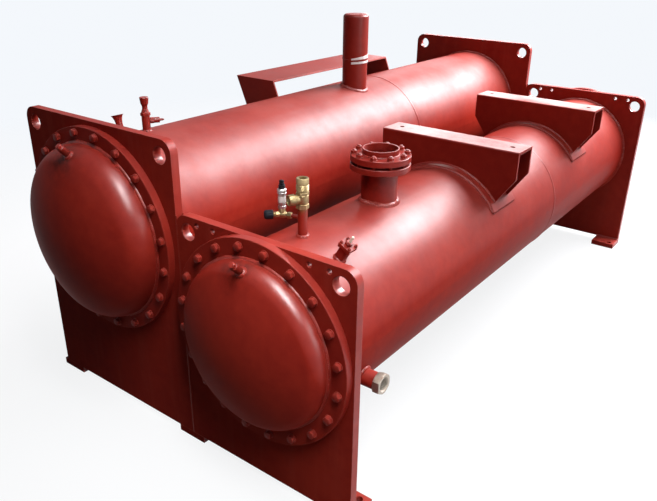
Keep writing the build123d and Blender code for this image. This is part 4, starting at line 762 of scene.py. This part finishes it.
class Head:
    """One bolted head: a flange ring with a dished wall, standing out along Y."""

    def __init__(self, vessel, centre, side, flange_r, bolt_r, dish_r, depth, knuckle, vent_angle):
        self.vessel = vessel
        self.front = side < 0
        self.label = vessel + ("_front" if self.front else "_rear")
        self.centre = Vector((centre.x, FRONT_Y if self.front else REAR_Y, centre.z))
        self.axis = Y_AXIS * side
        self.flange_r, self.bolt_r, self.dish_r, self.knuckle = flange_r, bolt_r, dish_r, knuckle
        self.knuckle_r = dish_r - knuckle
        self.crown = (self.knuckle_r ** 2 + depth ** 2 - knuckle ** 2) / (2 * (depth - knuckle))
        self.crown_h = DISH_START + depth - self.crown
        self.turn = math.atan2(self.knuckle_r, DISH_START - self.crown_h)
        lean = math.radians(vent_angle)
        self.vent_axis = self.axis * math.cos(lean) + Z_AXIS * math.sin(lean)
        self.vent_root = (self.centre + Z_AXIS * (self.knuckle_r + knuckle * math.sin(lean))
                          + self.axis * (DISH_START + knuckle * math.cos(lean)))

    def height(self, radial):
        """How far the outer skin stands from the tube sheet, at a distance from the head's axis."""
        if radial > self.crown * math.sin(self.turn):
            return DISH_START + math.sqrt(max(self.knuckle ** 2 - (radial - self.knuckle_r) ** 2, 0))
        return self.crown_h + math.sqrt(self.crown ** 2 - radial ** 2)

    def outside(self, p):
        """Distance of a point outside the dished skin, along the head's axis."""
        gap = p - self.centre
        along = gap.dot(self.axis)
        return along - self.height((gap - self.axis * along).length)

    def wall(self, inset):
        """(radius, height) points of the dished wall, from its straight part to its pole."""
        knuckle_steps, crown_steps, pole_r = 14, 22, 0.004
        points = [(self.dish_r - inset, DISH_START)]
        for k in range(1, knuckle_steps + 1):
            a = (math.pi / 2 - self.turn) * k / knuckle_steps
            points.append((self.knuckle_r + (self.knuckle - inset) * math.cos(a),
                           DISH_START + (self.knuckle - inset) * math.sin(a)))
        for k in range(1, crown_steps):
            a = self.turn * (1 - k / crown_steps)
            points.append(((self.crown - inset) * math.sin(a),
                           self.crown_h + (self.crown - inset) * math.cos(a)))
        points.append((pole_r, self.crown_h + self.crown - inset))
        return points

    def profile(self):
        """(radius, height) points from the inner pole round the flange ring to the outer pole."""
        rim, chamfer = self.flange_r, HEAD_CHAMFER
        ring = [(self.dish_r - HEAD_WALL, 0.0), (rim - chamfer, 0.0), (rim, chamfer),
                (rim, HEAD_FLANGE - chamfer), (rim - chamfer, HEAD_FLANGE), (self.dish_r, HEAD_FLANGE)]
        return list(reversed(self.wall(HEAD_WALL))) + ring + self.wall(0.0)


HEADS = []
for side in (-1, 1):
    HEADS.append(Head("evaporator", EVAPORATOR, side, flange_r=0.398, bolt_r=0.376, dish_r=0.340,
                      depth=0.158, knuckle=0.100, vent_angle=48.2))
    HEADS.append(Head("condenser", CONDENSER, side, flange_r=0.370, bolt_r=0.342, dish_r=0.302,
                      depth=0.108, knuckle=0.060, vent_angle=44.6))


def build_dished_heads():
    coupling = mm((8.5, -6), (13, -6), (13, 42.5), (11.8, 44), (8.5, 44))
    plug_collar = mm((9.8, 0), (9.8, 2.8), (8.8, 3.4), (4, 3.4))
    plugs = Batch()
    for head in HEADS:
        dish = Batch()
        dish.lathe(head.centre, head.axis, head.profile(), sides=176)
        if head.front:
            axis = head.vent_axis
            dish.lathe(head.vent_root, axis, coupling, sides=44)
            top = head.vent_root + axis * 0.0435
            plugs.lathe(top, axis, plug_collar, sides=32)
            plugs.hexagon(top + axis * 0.0030, axis, flats=0.0190, height=0.0095, turn=0.35)
        made = dish.make(head.label + "_dished_head", HEAD_PAINTS[head.vessel])
        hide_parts(head.label + "_head")
    plugs.make("vent_plugs", paint_fitting)


def build_head_bolts():
    pitch = 360 / HEAD_BOLTS
    washer = (0.0160, 0.0030, 0.0007)
    for head in HEADS:
        bolts = Batch()
        for k in range(HEAD_BOLTS):
            base = head.centre + head.axis * HEAD_FLANGE + leaning(pitch / 2 + pitch * k) * head.bolt_r
            hexagon_on_washer(bolts, base, head.axis, washer, flats=0.0250, height=0.0120, sides=28)
        bolts.make(head.label + "_head_bolts", paint_fitting)


# ---------------------------------------------------------------- discharge flange and bore
def build_discharge():
    washer = (0.0135, 0.0024, 0.0005)
    stud_end = thread_points(0.0064, 0.0074, 0.0020, 0.0150, 0.002) + [(0.0055, 0.0175)]
    studs = Batch()
    for k in range(10):
        spot = DISCHARGE + level(36 * k) * STUD_CIRCLE_R
        base = spot + Z_AXIS * FLANGE_TOP
        hexagon_on_washer(studs, base, Z_AXIS, washer, flats=0.0215, height=0.0105, sides=24)
        studs.lathe(base, Z_AXIS, stud_end, sides=16)
        studs.lathe(spot + Z_AXIS * (FLANGE_UNDERSIDE + 0.0002), Z_AXIS, mm((7.5, 0), (7.5, 57)), sides=16)
    studs.make("discharge_flange_studs", paint_fitting)

    bore_r, bottom, top = 0.0653, 1.0630, 1.0975
    rings = [(r, top - h) for r, h in thread_points(0.0649, 0.0636, 0.0006, 0.0330, 0.003)]
    bore = Batch()
    bore.hoop(DISCHARGE, Z_AXIS, [(bore_r, bottom), (bore_r, top)] + rings, sides=96)
    bore.make("discharge_bore_rings", paint_inside)


# ---------------------------------------------------------------- weld beads
EVAPORATOR_SKIN = shell_skin(EVAPORATOR, EVAPORATOR_R)
CONDENSER_SKIN = shell_skin(CONDENSER, CONDENSER_R)
SHELLS = ((EVAPORATOR, EVAPORATOR_R, EVAPORATOR_SKIN), (CONDENSER, CONDENSER_R, CONDENSER_SKIN))
INNER_FACES = ((FRONT_Y + SHEET, Y_AXIS), (REAR_Y - SHEET, -Y_AXIS))
SHEET_FACES = ((FRONT_Y, -Y_AXIS), (FRONT_Y + SHEET, Y_AXIS), (REAR_Y - SHEET, -Y_AXIS), (REAR_Y, Y_AXIS))


def weld_shells():
    """Beads between shells and sheets, and the round seams of shells and suction cap."""
    welds = Batch()
    for centre, radius, _ in SHELLS:
        for y, axis in INNER_FACES:
            ring_fillet(welds, Vector((centre.x, y, centre.z)), axis, radius, leg=0.011)
    welds.make("shell_to_sheet_welds", paint_weld)

    seams = Batch()
    for (centre, radius, _), y in zip(SHELLS, (FRONT_Y + 1.834, FRONT_Y + 1.845)):
        ring_cap(seams, Vector((centre.x, y, centre.z)), Y_AXIS, radius, width=0.018, height=0.0030)
    ring_cap(seams, SUCTION + Z_AXIS * SUCTION_CAP_Z, Z_AXIS, 0.0642, width=0.009, height=0.0018, step=0.0025)
    seams.make("shell_course_seams", paint_weld)


def weld_heads():
    """Beads at the head flanges, the vents and the water pipes."""
    water_pipes = {"evaporator": (0.07065, 0.160), "condenser": (0.05715, 0.140)}
    welds = Batch()
    for head in HEADS:
        ring_fillet(welds, head.centre + head.axis * HEAD_FLANGE, head.axis, head.dish_r, leg=0.008)
        if head.front:
            seat_weld(welds, head.outside, head.vent_root, head.vent_axis, VENT_R, leg=0.0075, reach=0.03)
            continue
        pipe_r, shift = water_pipes[head.vessel]
        for up in (-1, 1):
            foot = head.centre + Z_AXIS * shift * up + head.axis * head.height(shift)
            seat_weld(welds, head.outside, foot, head.axis, pipe_r, leg=0.009)
    welds.make("head_welds", paint_weld)


def weld_nozzles():
    """Beads where pipes and valves stand on the shells."""
    # Wall, foot, axis, radius of the pipe and leg of the fillet
    seats = [(EVAPORATOR_SKIN, SUCTION + Z_AXIS * EVAPORATOR_TOP, Z_AXIS, SUCTION_R, 0.011),
             (CONDENSER_SKIN, DISCHARGE + Z_AXIS * CONDENSER_TOP, Z_AXIS, NOZZLE_R, 0.012),
             (CONDENSER_SKIN, RELIEF + Z_AXIS * CONDENSER_TOP, Z_AXIS, RELIEF_STUB_R, 0.0085),
             (CONDENSER_SKIN, PURGE_FOOT, PURGE_AXIS, 0.016, 0.0085),
             (EVAPORATOR_SKIN, FLARE_FOOT, FLARE_AXIS, 0.013, 0.007),
             (EVAPORATOR_SKIN, CHARGING + Z_AXIS * EVAPORATOR_TOP, Z_AXIS, 0.0125, 0.009),
             (CONDENSER_SKIN, DRAIN, X_AXIS, 0.03015, 0.009)]
    for centre, radius, skin in SHELLS:
        seats.append((skin, Vector((centre.x, LIQUID_Y, centre.z - radius)), -Z_AXIS, LIQUID_R, 0.009))
    welds = Batch()
    for skin, foot, axis, pipe_r, leg in seats:
        seat_weld(welds, skin, foot, axis, pipe_r, leg)
    ring_fillet(welds, DISCHARGE + Z_AXIS * FLANGE_UNDERSIDE, -Z_AXIS, NOZZLE_R, leg=0.008)
    ring_fillet(welds, DISCHARGE + Z_AXIS * FLANGE_TOP, Z_AXIS, NOZZLE_R, leg=0.004)
    welds.make("nozzle_welds", paint_weld)


def weld_supports():
    """Beads of the saddles and their wear plates, the bracket, the feet and the sheets' junction."""
    saddle_half, saddle_arc = 0.0715, 52
    plate_half, plate_arc, plate_r = 0.107, 58.5, CONDENSER_R + 0.0103
    welds = Batch()
    for y in (FRONT_Y + 1.287, FRONT_Y + 2.260):
        for side in (-1, 1):
            out = Y_AXIS * side
            for half, radius, arc, leg in ((saddle_half, plate_r, saddle_arc, 0.007),
                                           (plate_half, CONDENSER_R, plate_arc, 0.009)):
                arc_fillet(welds, CONDENSER, y + half * side, radius, -arc, arc, out, leg)
            up = leaning(plate_arc * side)
            round_the_shell = Vector((up.z, 0, -up.x)) * side
            root = Vector((CONDENSER.x, 0, CONDENSER.z)) + up * CONDENSER_R
            line_fillet(welds, root + Y_AXIS * (y - plate_half), root + Y_AXIS * (y + plate_half),
                        round_the_shell, up, leg=0.009)
    for y, out in ((FRONT_Y + 1.175, -Y_AXIS), (FRONT_Y + 2.215, Y_AXIS)):
        arc_fillet(welds, EVAPORATOR, y, EVAPORATOR_R, -68.5, -25.5, out, leg=0.006)
    for x in FOOT_CENTRES:
        low, high = max(x - FOOT_HALF, SHEETS_LEFT), min(x + FOOT_HALF, SHEETS_RIGHT)
        for y, out in INNER_FACES:
            start, end = Vector((low, y, FOOT_TOP)), Vector((high, y, FOOT_TOP))
            line_fillet(welds, start, end, out, Z_AXIS, leg=0.009)
    junction_low, junction_tall, junction_step = 0.030, 0.92, 0.0035
    for y, out in SHEET_FACES:
        path = [(Vector((JUNCTION_X, y, junction_low + junction_step * k)), X_AXIS, out)
                for k in range(int(junction_tall / junction_step))]
        butt_bead(welds, path, width=0.009, height=0.0010, closed=False)
    welds.make("support_welds", paint_weld)


def line_lifting_holes():
    """Thin linings with eased edges in the lifting holes."""
    lining = mm((31.45, -15.9), (31.15, -15.9), (30.9, -15), (30.9, 15), (31.15, 15.9), (31.45, 15.9))
    bores = Batch()
    for y in (FRONT_Y, REAR_Y - SHEET):
        for x, z in LIFTING_HOLES:
            bores.hoop(Vector((x, y + SHEET / 2, z)), Y_AXIS, lining, sides=72)
    bores.make("lifting_hole_bores", paint_bore)


# ---------------------------------------------------------------- relief valve and its branch
def build_relief_valve():
    valve = Batch()
    valve.hexagon(RELIEF_JOINT + Z_AXIS * 0.0002, Z_AXIS, flats=0.0375, height=0.0165, turn=0.2)
    body = mm((6, 12), (17.5, 12), (17.5, 18.5), (20, 20.5), (20.8, 22.5), (20.8, 46), (19, 48), (16.5, 48.5),
              (6, 48.5))
    valve.lathe(RELIEF_JOINT, Z_AXIS, body, sides=48)
    valve.hexagon(RELIEF_JOINT + Z_AXIS * 0.0480, Z_AXIS, flats=0.0390, height=0.0095, turn=0.35)
    bonnet = mm((6, 56), (18, 56), (18, 60.5), (20.5, 62.5))
    bonnet += thread_points(0.0204, 0.0214, 0.064, 0.018, 0.002)
    bonnet += mm((19.6, 82.5), (19.6, 86), (21.2, 87.5), (21.2, 102.5), (20, 104.6), (15.2, 105), (12, 104),
                 (12, 96), (4, 95.5))
    valve.lathe(RELIEF_JOINT, Z_AXIS, bonnet, sides=48)
    outlet = mm((6, 4), (15, 4), (15, 27.5), (17.8, 29), (19.2, 30.5), (19.2, 50), (18.2, 51.8), (15, 52))
    outlet += [(r, 0.0518 - h) for r, h in thread_points(0.0150, 0.0140, 0.0010, 0.0160, 0.002)]
    outlet += mm((13.8, 34.5), (4, 34))
    valve.lathe(RELIEF_JOINT + Z_AXIS * 0.034, RELIEF_OUTLET, outlet, sides=44)
    made = valve.make("relief_valve_body", brass)
    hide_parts("relief_valve")


def build_branch_tee():
    tee = Batch()
    tee.lathe(BRANCH_ROOT, BRANCH, mm((3, 39.5), (7.2, 39.5), (7.2, 48), (3, 48)), sides=24)
    tee.hexagon(BRANCH_ROOT + BRANCH * 0.0400, BRANCH, flats=0.0190, height=0.0150, turn=0.1)
    run = mm((3, 54), (6.6, 54), (6.6, 58.5), (9.2, 60.5), (10.5, 65), (11.2, 70), (11.4, 76), (10.5, 81.5),
             (8, 86), (3, 87))
    tee.lathe(BRANCH_ROOT, BRANCH, run, sides=32)
    tee.lathe(TEE, Z_AXIS, mm((3, -11.5), (7.5, -10.5), (9.8, -7), (10, 6), (8.5, 8.5), (3, 8.5)), sides=32)
    tee.hexagon(TEE + Z_AXIS * 0.0080, Z_AXIS, flats=0.0205, height=0.0135, turn=0.4)
    tee.lathe(TEE, SERVICE, mm((3, 2), (9, 2), (8.6, 13.5), (3, 13.5)), sides=32)
    tee.hexagon(TEE + SERVICE * 0.0125, SERVICE, flats=0.0180, height=0.0090, turn=0.3)
    stem = mm((3, 21), (8.8, 21)) + thread_points(0.0082, 0.0090, 0.0215, 0.0080, 0.0016) + mm((3, 29.8))
    tee.lathe(TEE, SERVICE, stem, sides=28)
    made = tee.make("branch_tee_body", brass)
    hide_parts("branch_tee")


def build_branch_pipe():
    pipe = Batch()
    pipe.lathe(BRANCH_ROOT, BRANCH, mm((2, 14.2), (6.3, 14.2), (6.3, 40), (2, 40)), sides=28)
    seat_weld(pipe, lambda p: math.hypot(p.x - RELIEF.x, p.y - RELIEF.y) - RELIEF_STUB_R,
              BRANCH_ROOT + BRANCH * RELIEF_STUB_R, BRANCH, BRANCH_R, leg=0.0035, reach=0.010)
    pipe.make("branch_pipe", paint_nipple)


def build_transducer():
    sensor = Batch()
    sensor.hexagon(SENSOR, Z_AXIS, flats=0.0235, height=0.0095, turn=0.15)
    can = mm((4, 9), (10.8, 9), (10.8, 12.5), (13, 14.5), (13.4, 16.5), (13.4, 50.5), (14.2, 51.5),
             (15.8, 53), (15.8, 55.5), (14.6, 56.5), (14.6, 59), (15.8, 60), (15.8, 65.5), (15, 67),
             (11.8, 69.6), (4, 69.8))
    sensor.lathe(SENSOR, Z_AXIS, can, sides=48)
    made = sensor.make("transducer_body", stainless)
    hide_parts("pressure_transducer")

    label_arc, label_steps = 300, 48
    section = mm((13.3, 23), (13.62, 23), (13.62, 43), (13.3, 43))
    label = Batch()
    outs = [level(-label_arc / 2 + label_arc * k / label_steps) for k in range(label_steps + 1)]
    label.rings([[SENSOR + out * r + Z_AXIS * h for r, h in section] for out in outs])
    label.make("transducer_plain_label", label_white)


def build_transducer_plug():
    """A round collar under a rounded square grip with a waist."""
    plug = Batch()
    collar = mm((4, 0), (11.3, 0), (11.5, 1.5), (11.5, 4.5), (10.6, 5.5), (10.6, 7.5), (11.4, 8.5),
                (11.4, 11), (10.5, 12), (4, 12))
    plug.lathe(SENSOR_PLUG, Z_AXIS, collar, sides=36)
    squareness, sides = 0.45, 32
    grip = ((0.0075, 0.0060, 0.0115), (0.0083, 0.0063, 0.0125), (0.0083, 0.0063, 0.0180),
            (0.0070, 0.0055, 0.0190), (0.0070, 0.0055, 0.0205), (0.0080, 0.0060, 0.0215),
            (0.0078, 0.0058, 0.0255), (0.0062, 0.0046, 0.0276), (0.0030, 0.0020, 0.0280))
    rings = []
    for half_x, half_y, height in grip:
        ring = []
        for k in range(sides):
            c, s = math.cos(FULL_TURN * k / sides), math.sin(FULL_TURN * k / sides)
            x = math.copysign(abs(c) ** squareness, c) * half_x
            y = math.copysign(abs(s) ** squareness, s) * half_y
            ring.append(SENSOR_PLUG + Vector((x, y, height)))
        rings.append(ring)
    plug.rings(rings)
    made = plug.make("transducer_plug", black_cap)
    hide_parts("transducer_connector")


def fluted_ring(base, axis, radius, height, depth):
    """A ring of points whose radius ripples, for a cap that is turned by hand."""
    flutes, sides = 18, 108
    first, second = side_axes(axis)
    ring = []
    for k in range(sides):
        a = FULL_TURN * k / sides
        r = radius - depth * (0.5 - 0.5 * math.cos(flutes * a)) ** 3
        ring.append(base + axis * height + (first * math.cos(a) + second * math.sin(a)) * r)
    return ring


def build_service_cap():
    """Cap as (radius, height, depth of the flutes) rings."""
    shape = ((0.0100, 0.0, 0), (0.0150, 0.0002, 0), (0.0158, 0.0015, 0), (0.0158, 0.0050, 0),
             (0.0160, 0.0060, 0.0010), (0.0160, 0.0215, 0.0010), (0.0154, 0.0260, 0.0008),
             (0.0132, 0.0295, 0.0004), (0.0085, 0.0315, 0), (0.003, 0.0320, 0))
    cap = Batch()
    cap.rings([fluted_ring(TEE + SERVICE * 0.030, SERVICE, r, h, depth) for r, h, depth in shape])
    made = cap.make("service_valve_black_cap", black_cap)
    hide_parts("service_valve_cap")


# ---------------------------------------------------------------- purge valve, drain ring, charging valve
def build_purge_screws():
    """Four screws through the purge valve's square flanges, and its gland nut."""
    flats, tall, pitch_half = 0.0105, 0.0060, 0.0180
    flange_top, flange_underside = PURGE_AXIS * 0.0668, PURGE_AXIS * 0.0562
    across = PURGE_AXIS.cross(Y_AXIS).normalized()
    screws = Batch()
    for u in (-1, 1):
        for v in (-1, 1):
            spot = PURGE_FOOT + (Y_AXIS * u + across * v) * pitch_half
            screws.hexagon(spot + flange_top, PURGE_AXIS, flats, tall, chance_turn())
            screws.lathe(spot, PURGE_AXIS, mm((4, 71.5), (4, 76.5), (3, 77)), sides=14)
            screws.hexagon(spot + flange_underside, -PURGE_AXIS, flats, tall, chance_turn())
    screws.hexagon(PURGE_FOOT + flange_top, PURGE_AXIS, flats=0.0235, height=0.0085, turn=0.2)
    screws.make("purge_valve_screws", paint_purge)


def build_drain_ring():
    """Hexagon with a threaded bore, as one loop of outlines and bore circles."""
    flats, tall, sides, sixth = 0.0675, 0.0270, 72, math.pi / 3
    corner_r, chamfer_r, bore_r, mouth_r = 0.0390, 0.0352, 0.0252, 0.0262

    def section(height, corner=None, bore=None):
        made = []
        for k in range(sides):
            a = FULL_TURN * k / sides
            sector = (a - sixth / 2) % sixth - sixth / 2
            reach = bore or min(flats / 2 / math.cos(sector), corner)
            made.append(DRAIN_END + X_AXIS * height + (Y_AXIS * math.cos(a) + Z_AXIS * math.sin(a)) * reach)
        return made

    sections = [section(0.0003, chamfer_r), section(0.0026, corner_r), section(0.0244, corner_r),
                section(tall, chamfer_r), section(tall, bore=mouth_r)]
    sections += [section(0.0255 - h, bore=r) for r, h in thread_points(bore_r, 0.0242, 0.0, 0.0240, 0.0024)]
    sections += [section(0.0003, bore=bore_r)]
    ring = Batch()
    ring.rings(sections, closed_loop=True)
    made = ring.make("drain_threaded_ring", steel, sharp_angle=25)
    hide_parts("drain_ring")


def build_charging_nuts():
    nuts = Batch()
    nuts.hexagon(CHARGING_JOINT + Z_AXIS * 0.0745, Z_AXIS, flats=0.0340, height=0.0120, turn=0.5)
    port = CHARGING_JOINT + Z_AXIS * 0.054
    nuts.hexagon(port + CHARGING_PORT * 0.0160, CHARGING_PORT, flats=0.0205, height=0.0140, turn=0.2)
    nuts.lathe(port, CHARGING_PORT, mm((3, 51.5), (5, 51.5), (4.5, 64), (2, 70)), sides=20)
    nuts.make("charging_valve_nuts", paint_fitting)


# ---------------------------------------------------------------- tape on the suction pipe
def build_suction_tape():
    """Two plain strips that run askew round the pipe, the lower edge and the width given at both ends."""
    inner_r, outer_r, from_angle, arc, steps = 0.0642, 0.06625, -72, 165, 40
    tape = Batch()
    for low_start, low_end, wide_start, wide_end in ((1.246, 1.254, 0.008, 0.017),
                                                     (1.226, 1.232, 0.011, 0.010)):
        rings = []
        for k in range(steps + 1):
            share = k / steps
            out = level(from_angle + arc * share)
            low = low_start + (low_end - low_start) * min(1, share * 2)
            wide = wide_start + (wide_end - wide_start) * min(1, share * 2)
            wave = 0.0006 * math.sin(9 * share)
            rings.append([SUCTION + out * r + Z_AXIS * (low + h + wave)
                          for r, h in ((inner_r, 0), (outer_r, 0), (outer_r, wide), (inner_r, wide))])
        tape.rings(rings)
    tape.make("suction_tape_strips", tape_white)


# ---------------------------------------------------------------- light, floor and backdrop
COOL = (1.0, 0.955, 0.99)
ROOM_TONE, ROOM_STRENGTH = (0.93, 0.96, 1.0, 1), 0.02
BACKDROP_TONE = (0.905, 0.935, 0.975, 1)
FLOOR_LIT, FLOOR_SHOWN = (0.15, 0.15, 0.15, 1), (0.80, 0.81, 0.82, 1)
FLOOR_GLOW = (0.985, 0.992, 1.0, 1)
GLOW_TO_CAMERA, GLOW_IN_GLOSS = 0.86, 0.45
FLOOR_HALF = 14
FADE_FROM, FADE_TO = 2.4, 5.5


def make_area(name, place, target, size, power, tint=(1, 1, 1), spread=180):
    lamp = bpy.data.lights.new(name, "AREA")
    lamp.shape = "RECTANGLE"
    lamp.size, lamp.size_y = size
    lamp.energy = power
    lamp.color = tint
    lamp.spread = math.radians(spread)
    made = bpy.data.objects.new(name, lamp)
    made.visible_camera = False
    made.location = place
    made.rotation_euler = (Vector(target) - Vector(place)).to_track_quat("-Z", "Y").to_euler()
    bpy.context.scene.collection.objects.link(made)


def rays_to_backdrop(g):
    """Light Path outputs, and 1 for the rays that show the backdrop: camera, glossy and transmission."""
    seen = g.node("ShaderNodeLightPath").outputs
    return seen, g.math("MAXIMUM", g.math("MAXIMUM", seen["Is Camera Ray"], seen["Is Glossy Ray"]),
                        seen["Is Transmission Ray"])


def mix_shaders(g, factor, first, second):
    made = g.node("ShaderNodeMixShader")
    for socket, source in zip(made.inputs, (factor, first, second)):
        g.link(source, socket)
    return made.outputs[0]


def make_world():
    """A dim room that lights the unit, and a pale backdrop that fades upward."""
    world = bpy.data.worlds.new("plain_room")
    world.use_nodes = True
    world.node_tree.nodes.clear()
    g = Graph(world.node_tree)
    room = g.node("ShaderNodeBackground")
    room.inputs["Color"].default_value = ROOM_TONE
    room.inputs["Strength"].default_value = ROOM_STRENGTH
    backdrop = g.node("ShaderNodeBackground")
    backdrop.inputs["Color"].default_value = BACKDROP_TONE
    way = g.node("ShaderNodeSeparateXYZ")
    g.link(g.node("ShaderNodeTexCoord").outputs["Generated"], way.inputs[0])
    g.link(g.remap(way.outputs["Z"], 0.10, 0.42, 1.0, 0.30), backdrop.inputs["Strength"])
    g.link(mix_shaders(g, rays_to_backdrop(g)[1], room.outputs[0], backdrop.outputs[0]),
           g.node("ShaderNodeOutputWorld").inputs[0])
    bpy.context.scene.world = world


def make_floor():
    """A pale floor that fades into the backdrop away from the unit."""
    corners = [(x * FLOOR_HALF, y * FLOOR_HALF, 0) for x, y in ((-1, -1), (1, -1), (1, 1), (-1, 1))]
    mesh = bpy.data.meshes.new("pale_floor")
    mesh.from_pydata(corners, [], [(0, 1, 2, 3)])
    floor = bpy.data.objects.new("pale_floor", mesh)
    bpy.context.scene.collection.objects.link(floor)
    look = bpy.data.materials.new("pale_floor")
    look.use_nodes = True
    look.node_tree.nodes.clear()
    g = Graph(look.node_tree)
    seen, direct = rays_to_backdrop(g)
    matt = g.node("ShaderNodeBsdfDiffuse")
    g.link(g.mix(direct, FLOOR_LIT, FLOOR_SHOWN), matt.inputs["Color"])
    white = g.node("ShaderNodeEmission")
    white.inputs["Color"].default_value = FLOOR_GLOW
    glow = g.math("MAXIMUM", g.math("MULTIPLY", seen["Is Camera Ray"], GLOW_TO_CAMERA),
                  g.math("MULTIPLY", direct, GLOW_IN_GLOSS))
    near = mix_shaders(g, glow, matt.outputs[0], white.outputs[0])
    fade = g.remap(g.measure("LENGTH", g.place()), FADE_FROM, FADE_TO)
    clear = g.node("ShaderNodeBsdfTransparent")
    g.link(mix_shaders(g, fade, near, clear.outputs[0]), g.node("ShaderNodeOutputMaterial").inputs["Surface"])
    mesh.materials.append(look)


# ---------------------------------------------------------------- the scene, in the order of its random draws
place_camera()
dress_cad_nodes()
build_dished_heads()
build_head_bolts()
build_discharge()
weld_shells()
weld_heads()
weld_nozzles()
weld_supports()
line_lifting_holes()
build_relief_valve()
build_branch_tee()
build_branch_pipe()
build_transducer()
build_transducer_plug()
build_service_cap()
build_purge_screws()
build_drain_ring()
build_charging_nuts()
build_suction_tape()

make_world()
make_floor()
# Name, place, target, size in metres, watts and tint
make_area("roof_light", (1.60, 5.85, 4.0), (1.60, 5.85, 0.0), (3.0, 8.7), 2180, COOL)
make_area("hall_light", (1.2, -1.2, 5.0), (1.2, -1.2, 0.0), (2.0, 2.2), 70, COOL)
make_area("side_window", (5.2, -1.0, 2.2), (0.3, -0.9, 0.6), (2.6, 2.2), 84)
make_area("key_window", (1.42, -2.22, 2.8), (0.45, -1.75, 0.55), (0.5, 1.8), 18, spread=75)
make_area("far_window", (-3.3, 7.2, 2.7), (0.3, 0.3, 0.9), (2.8, 1.8), 150, COOL)
bpy.context.scene.view_settings.view_transform = "Standard"
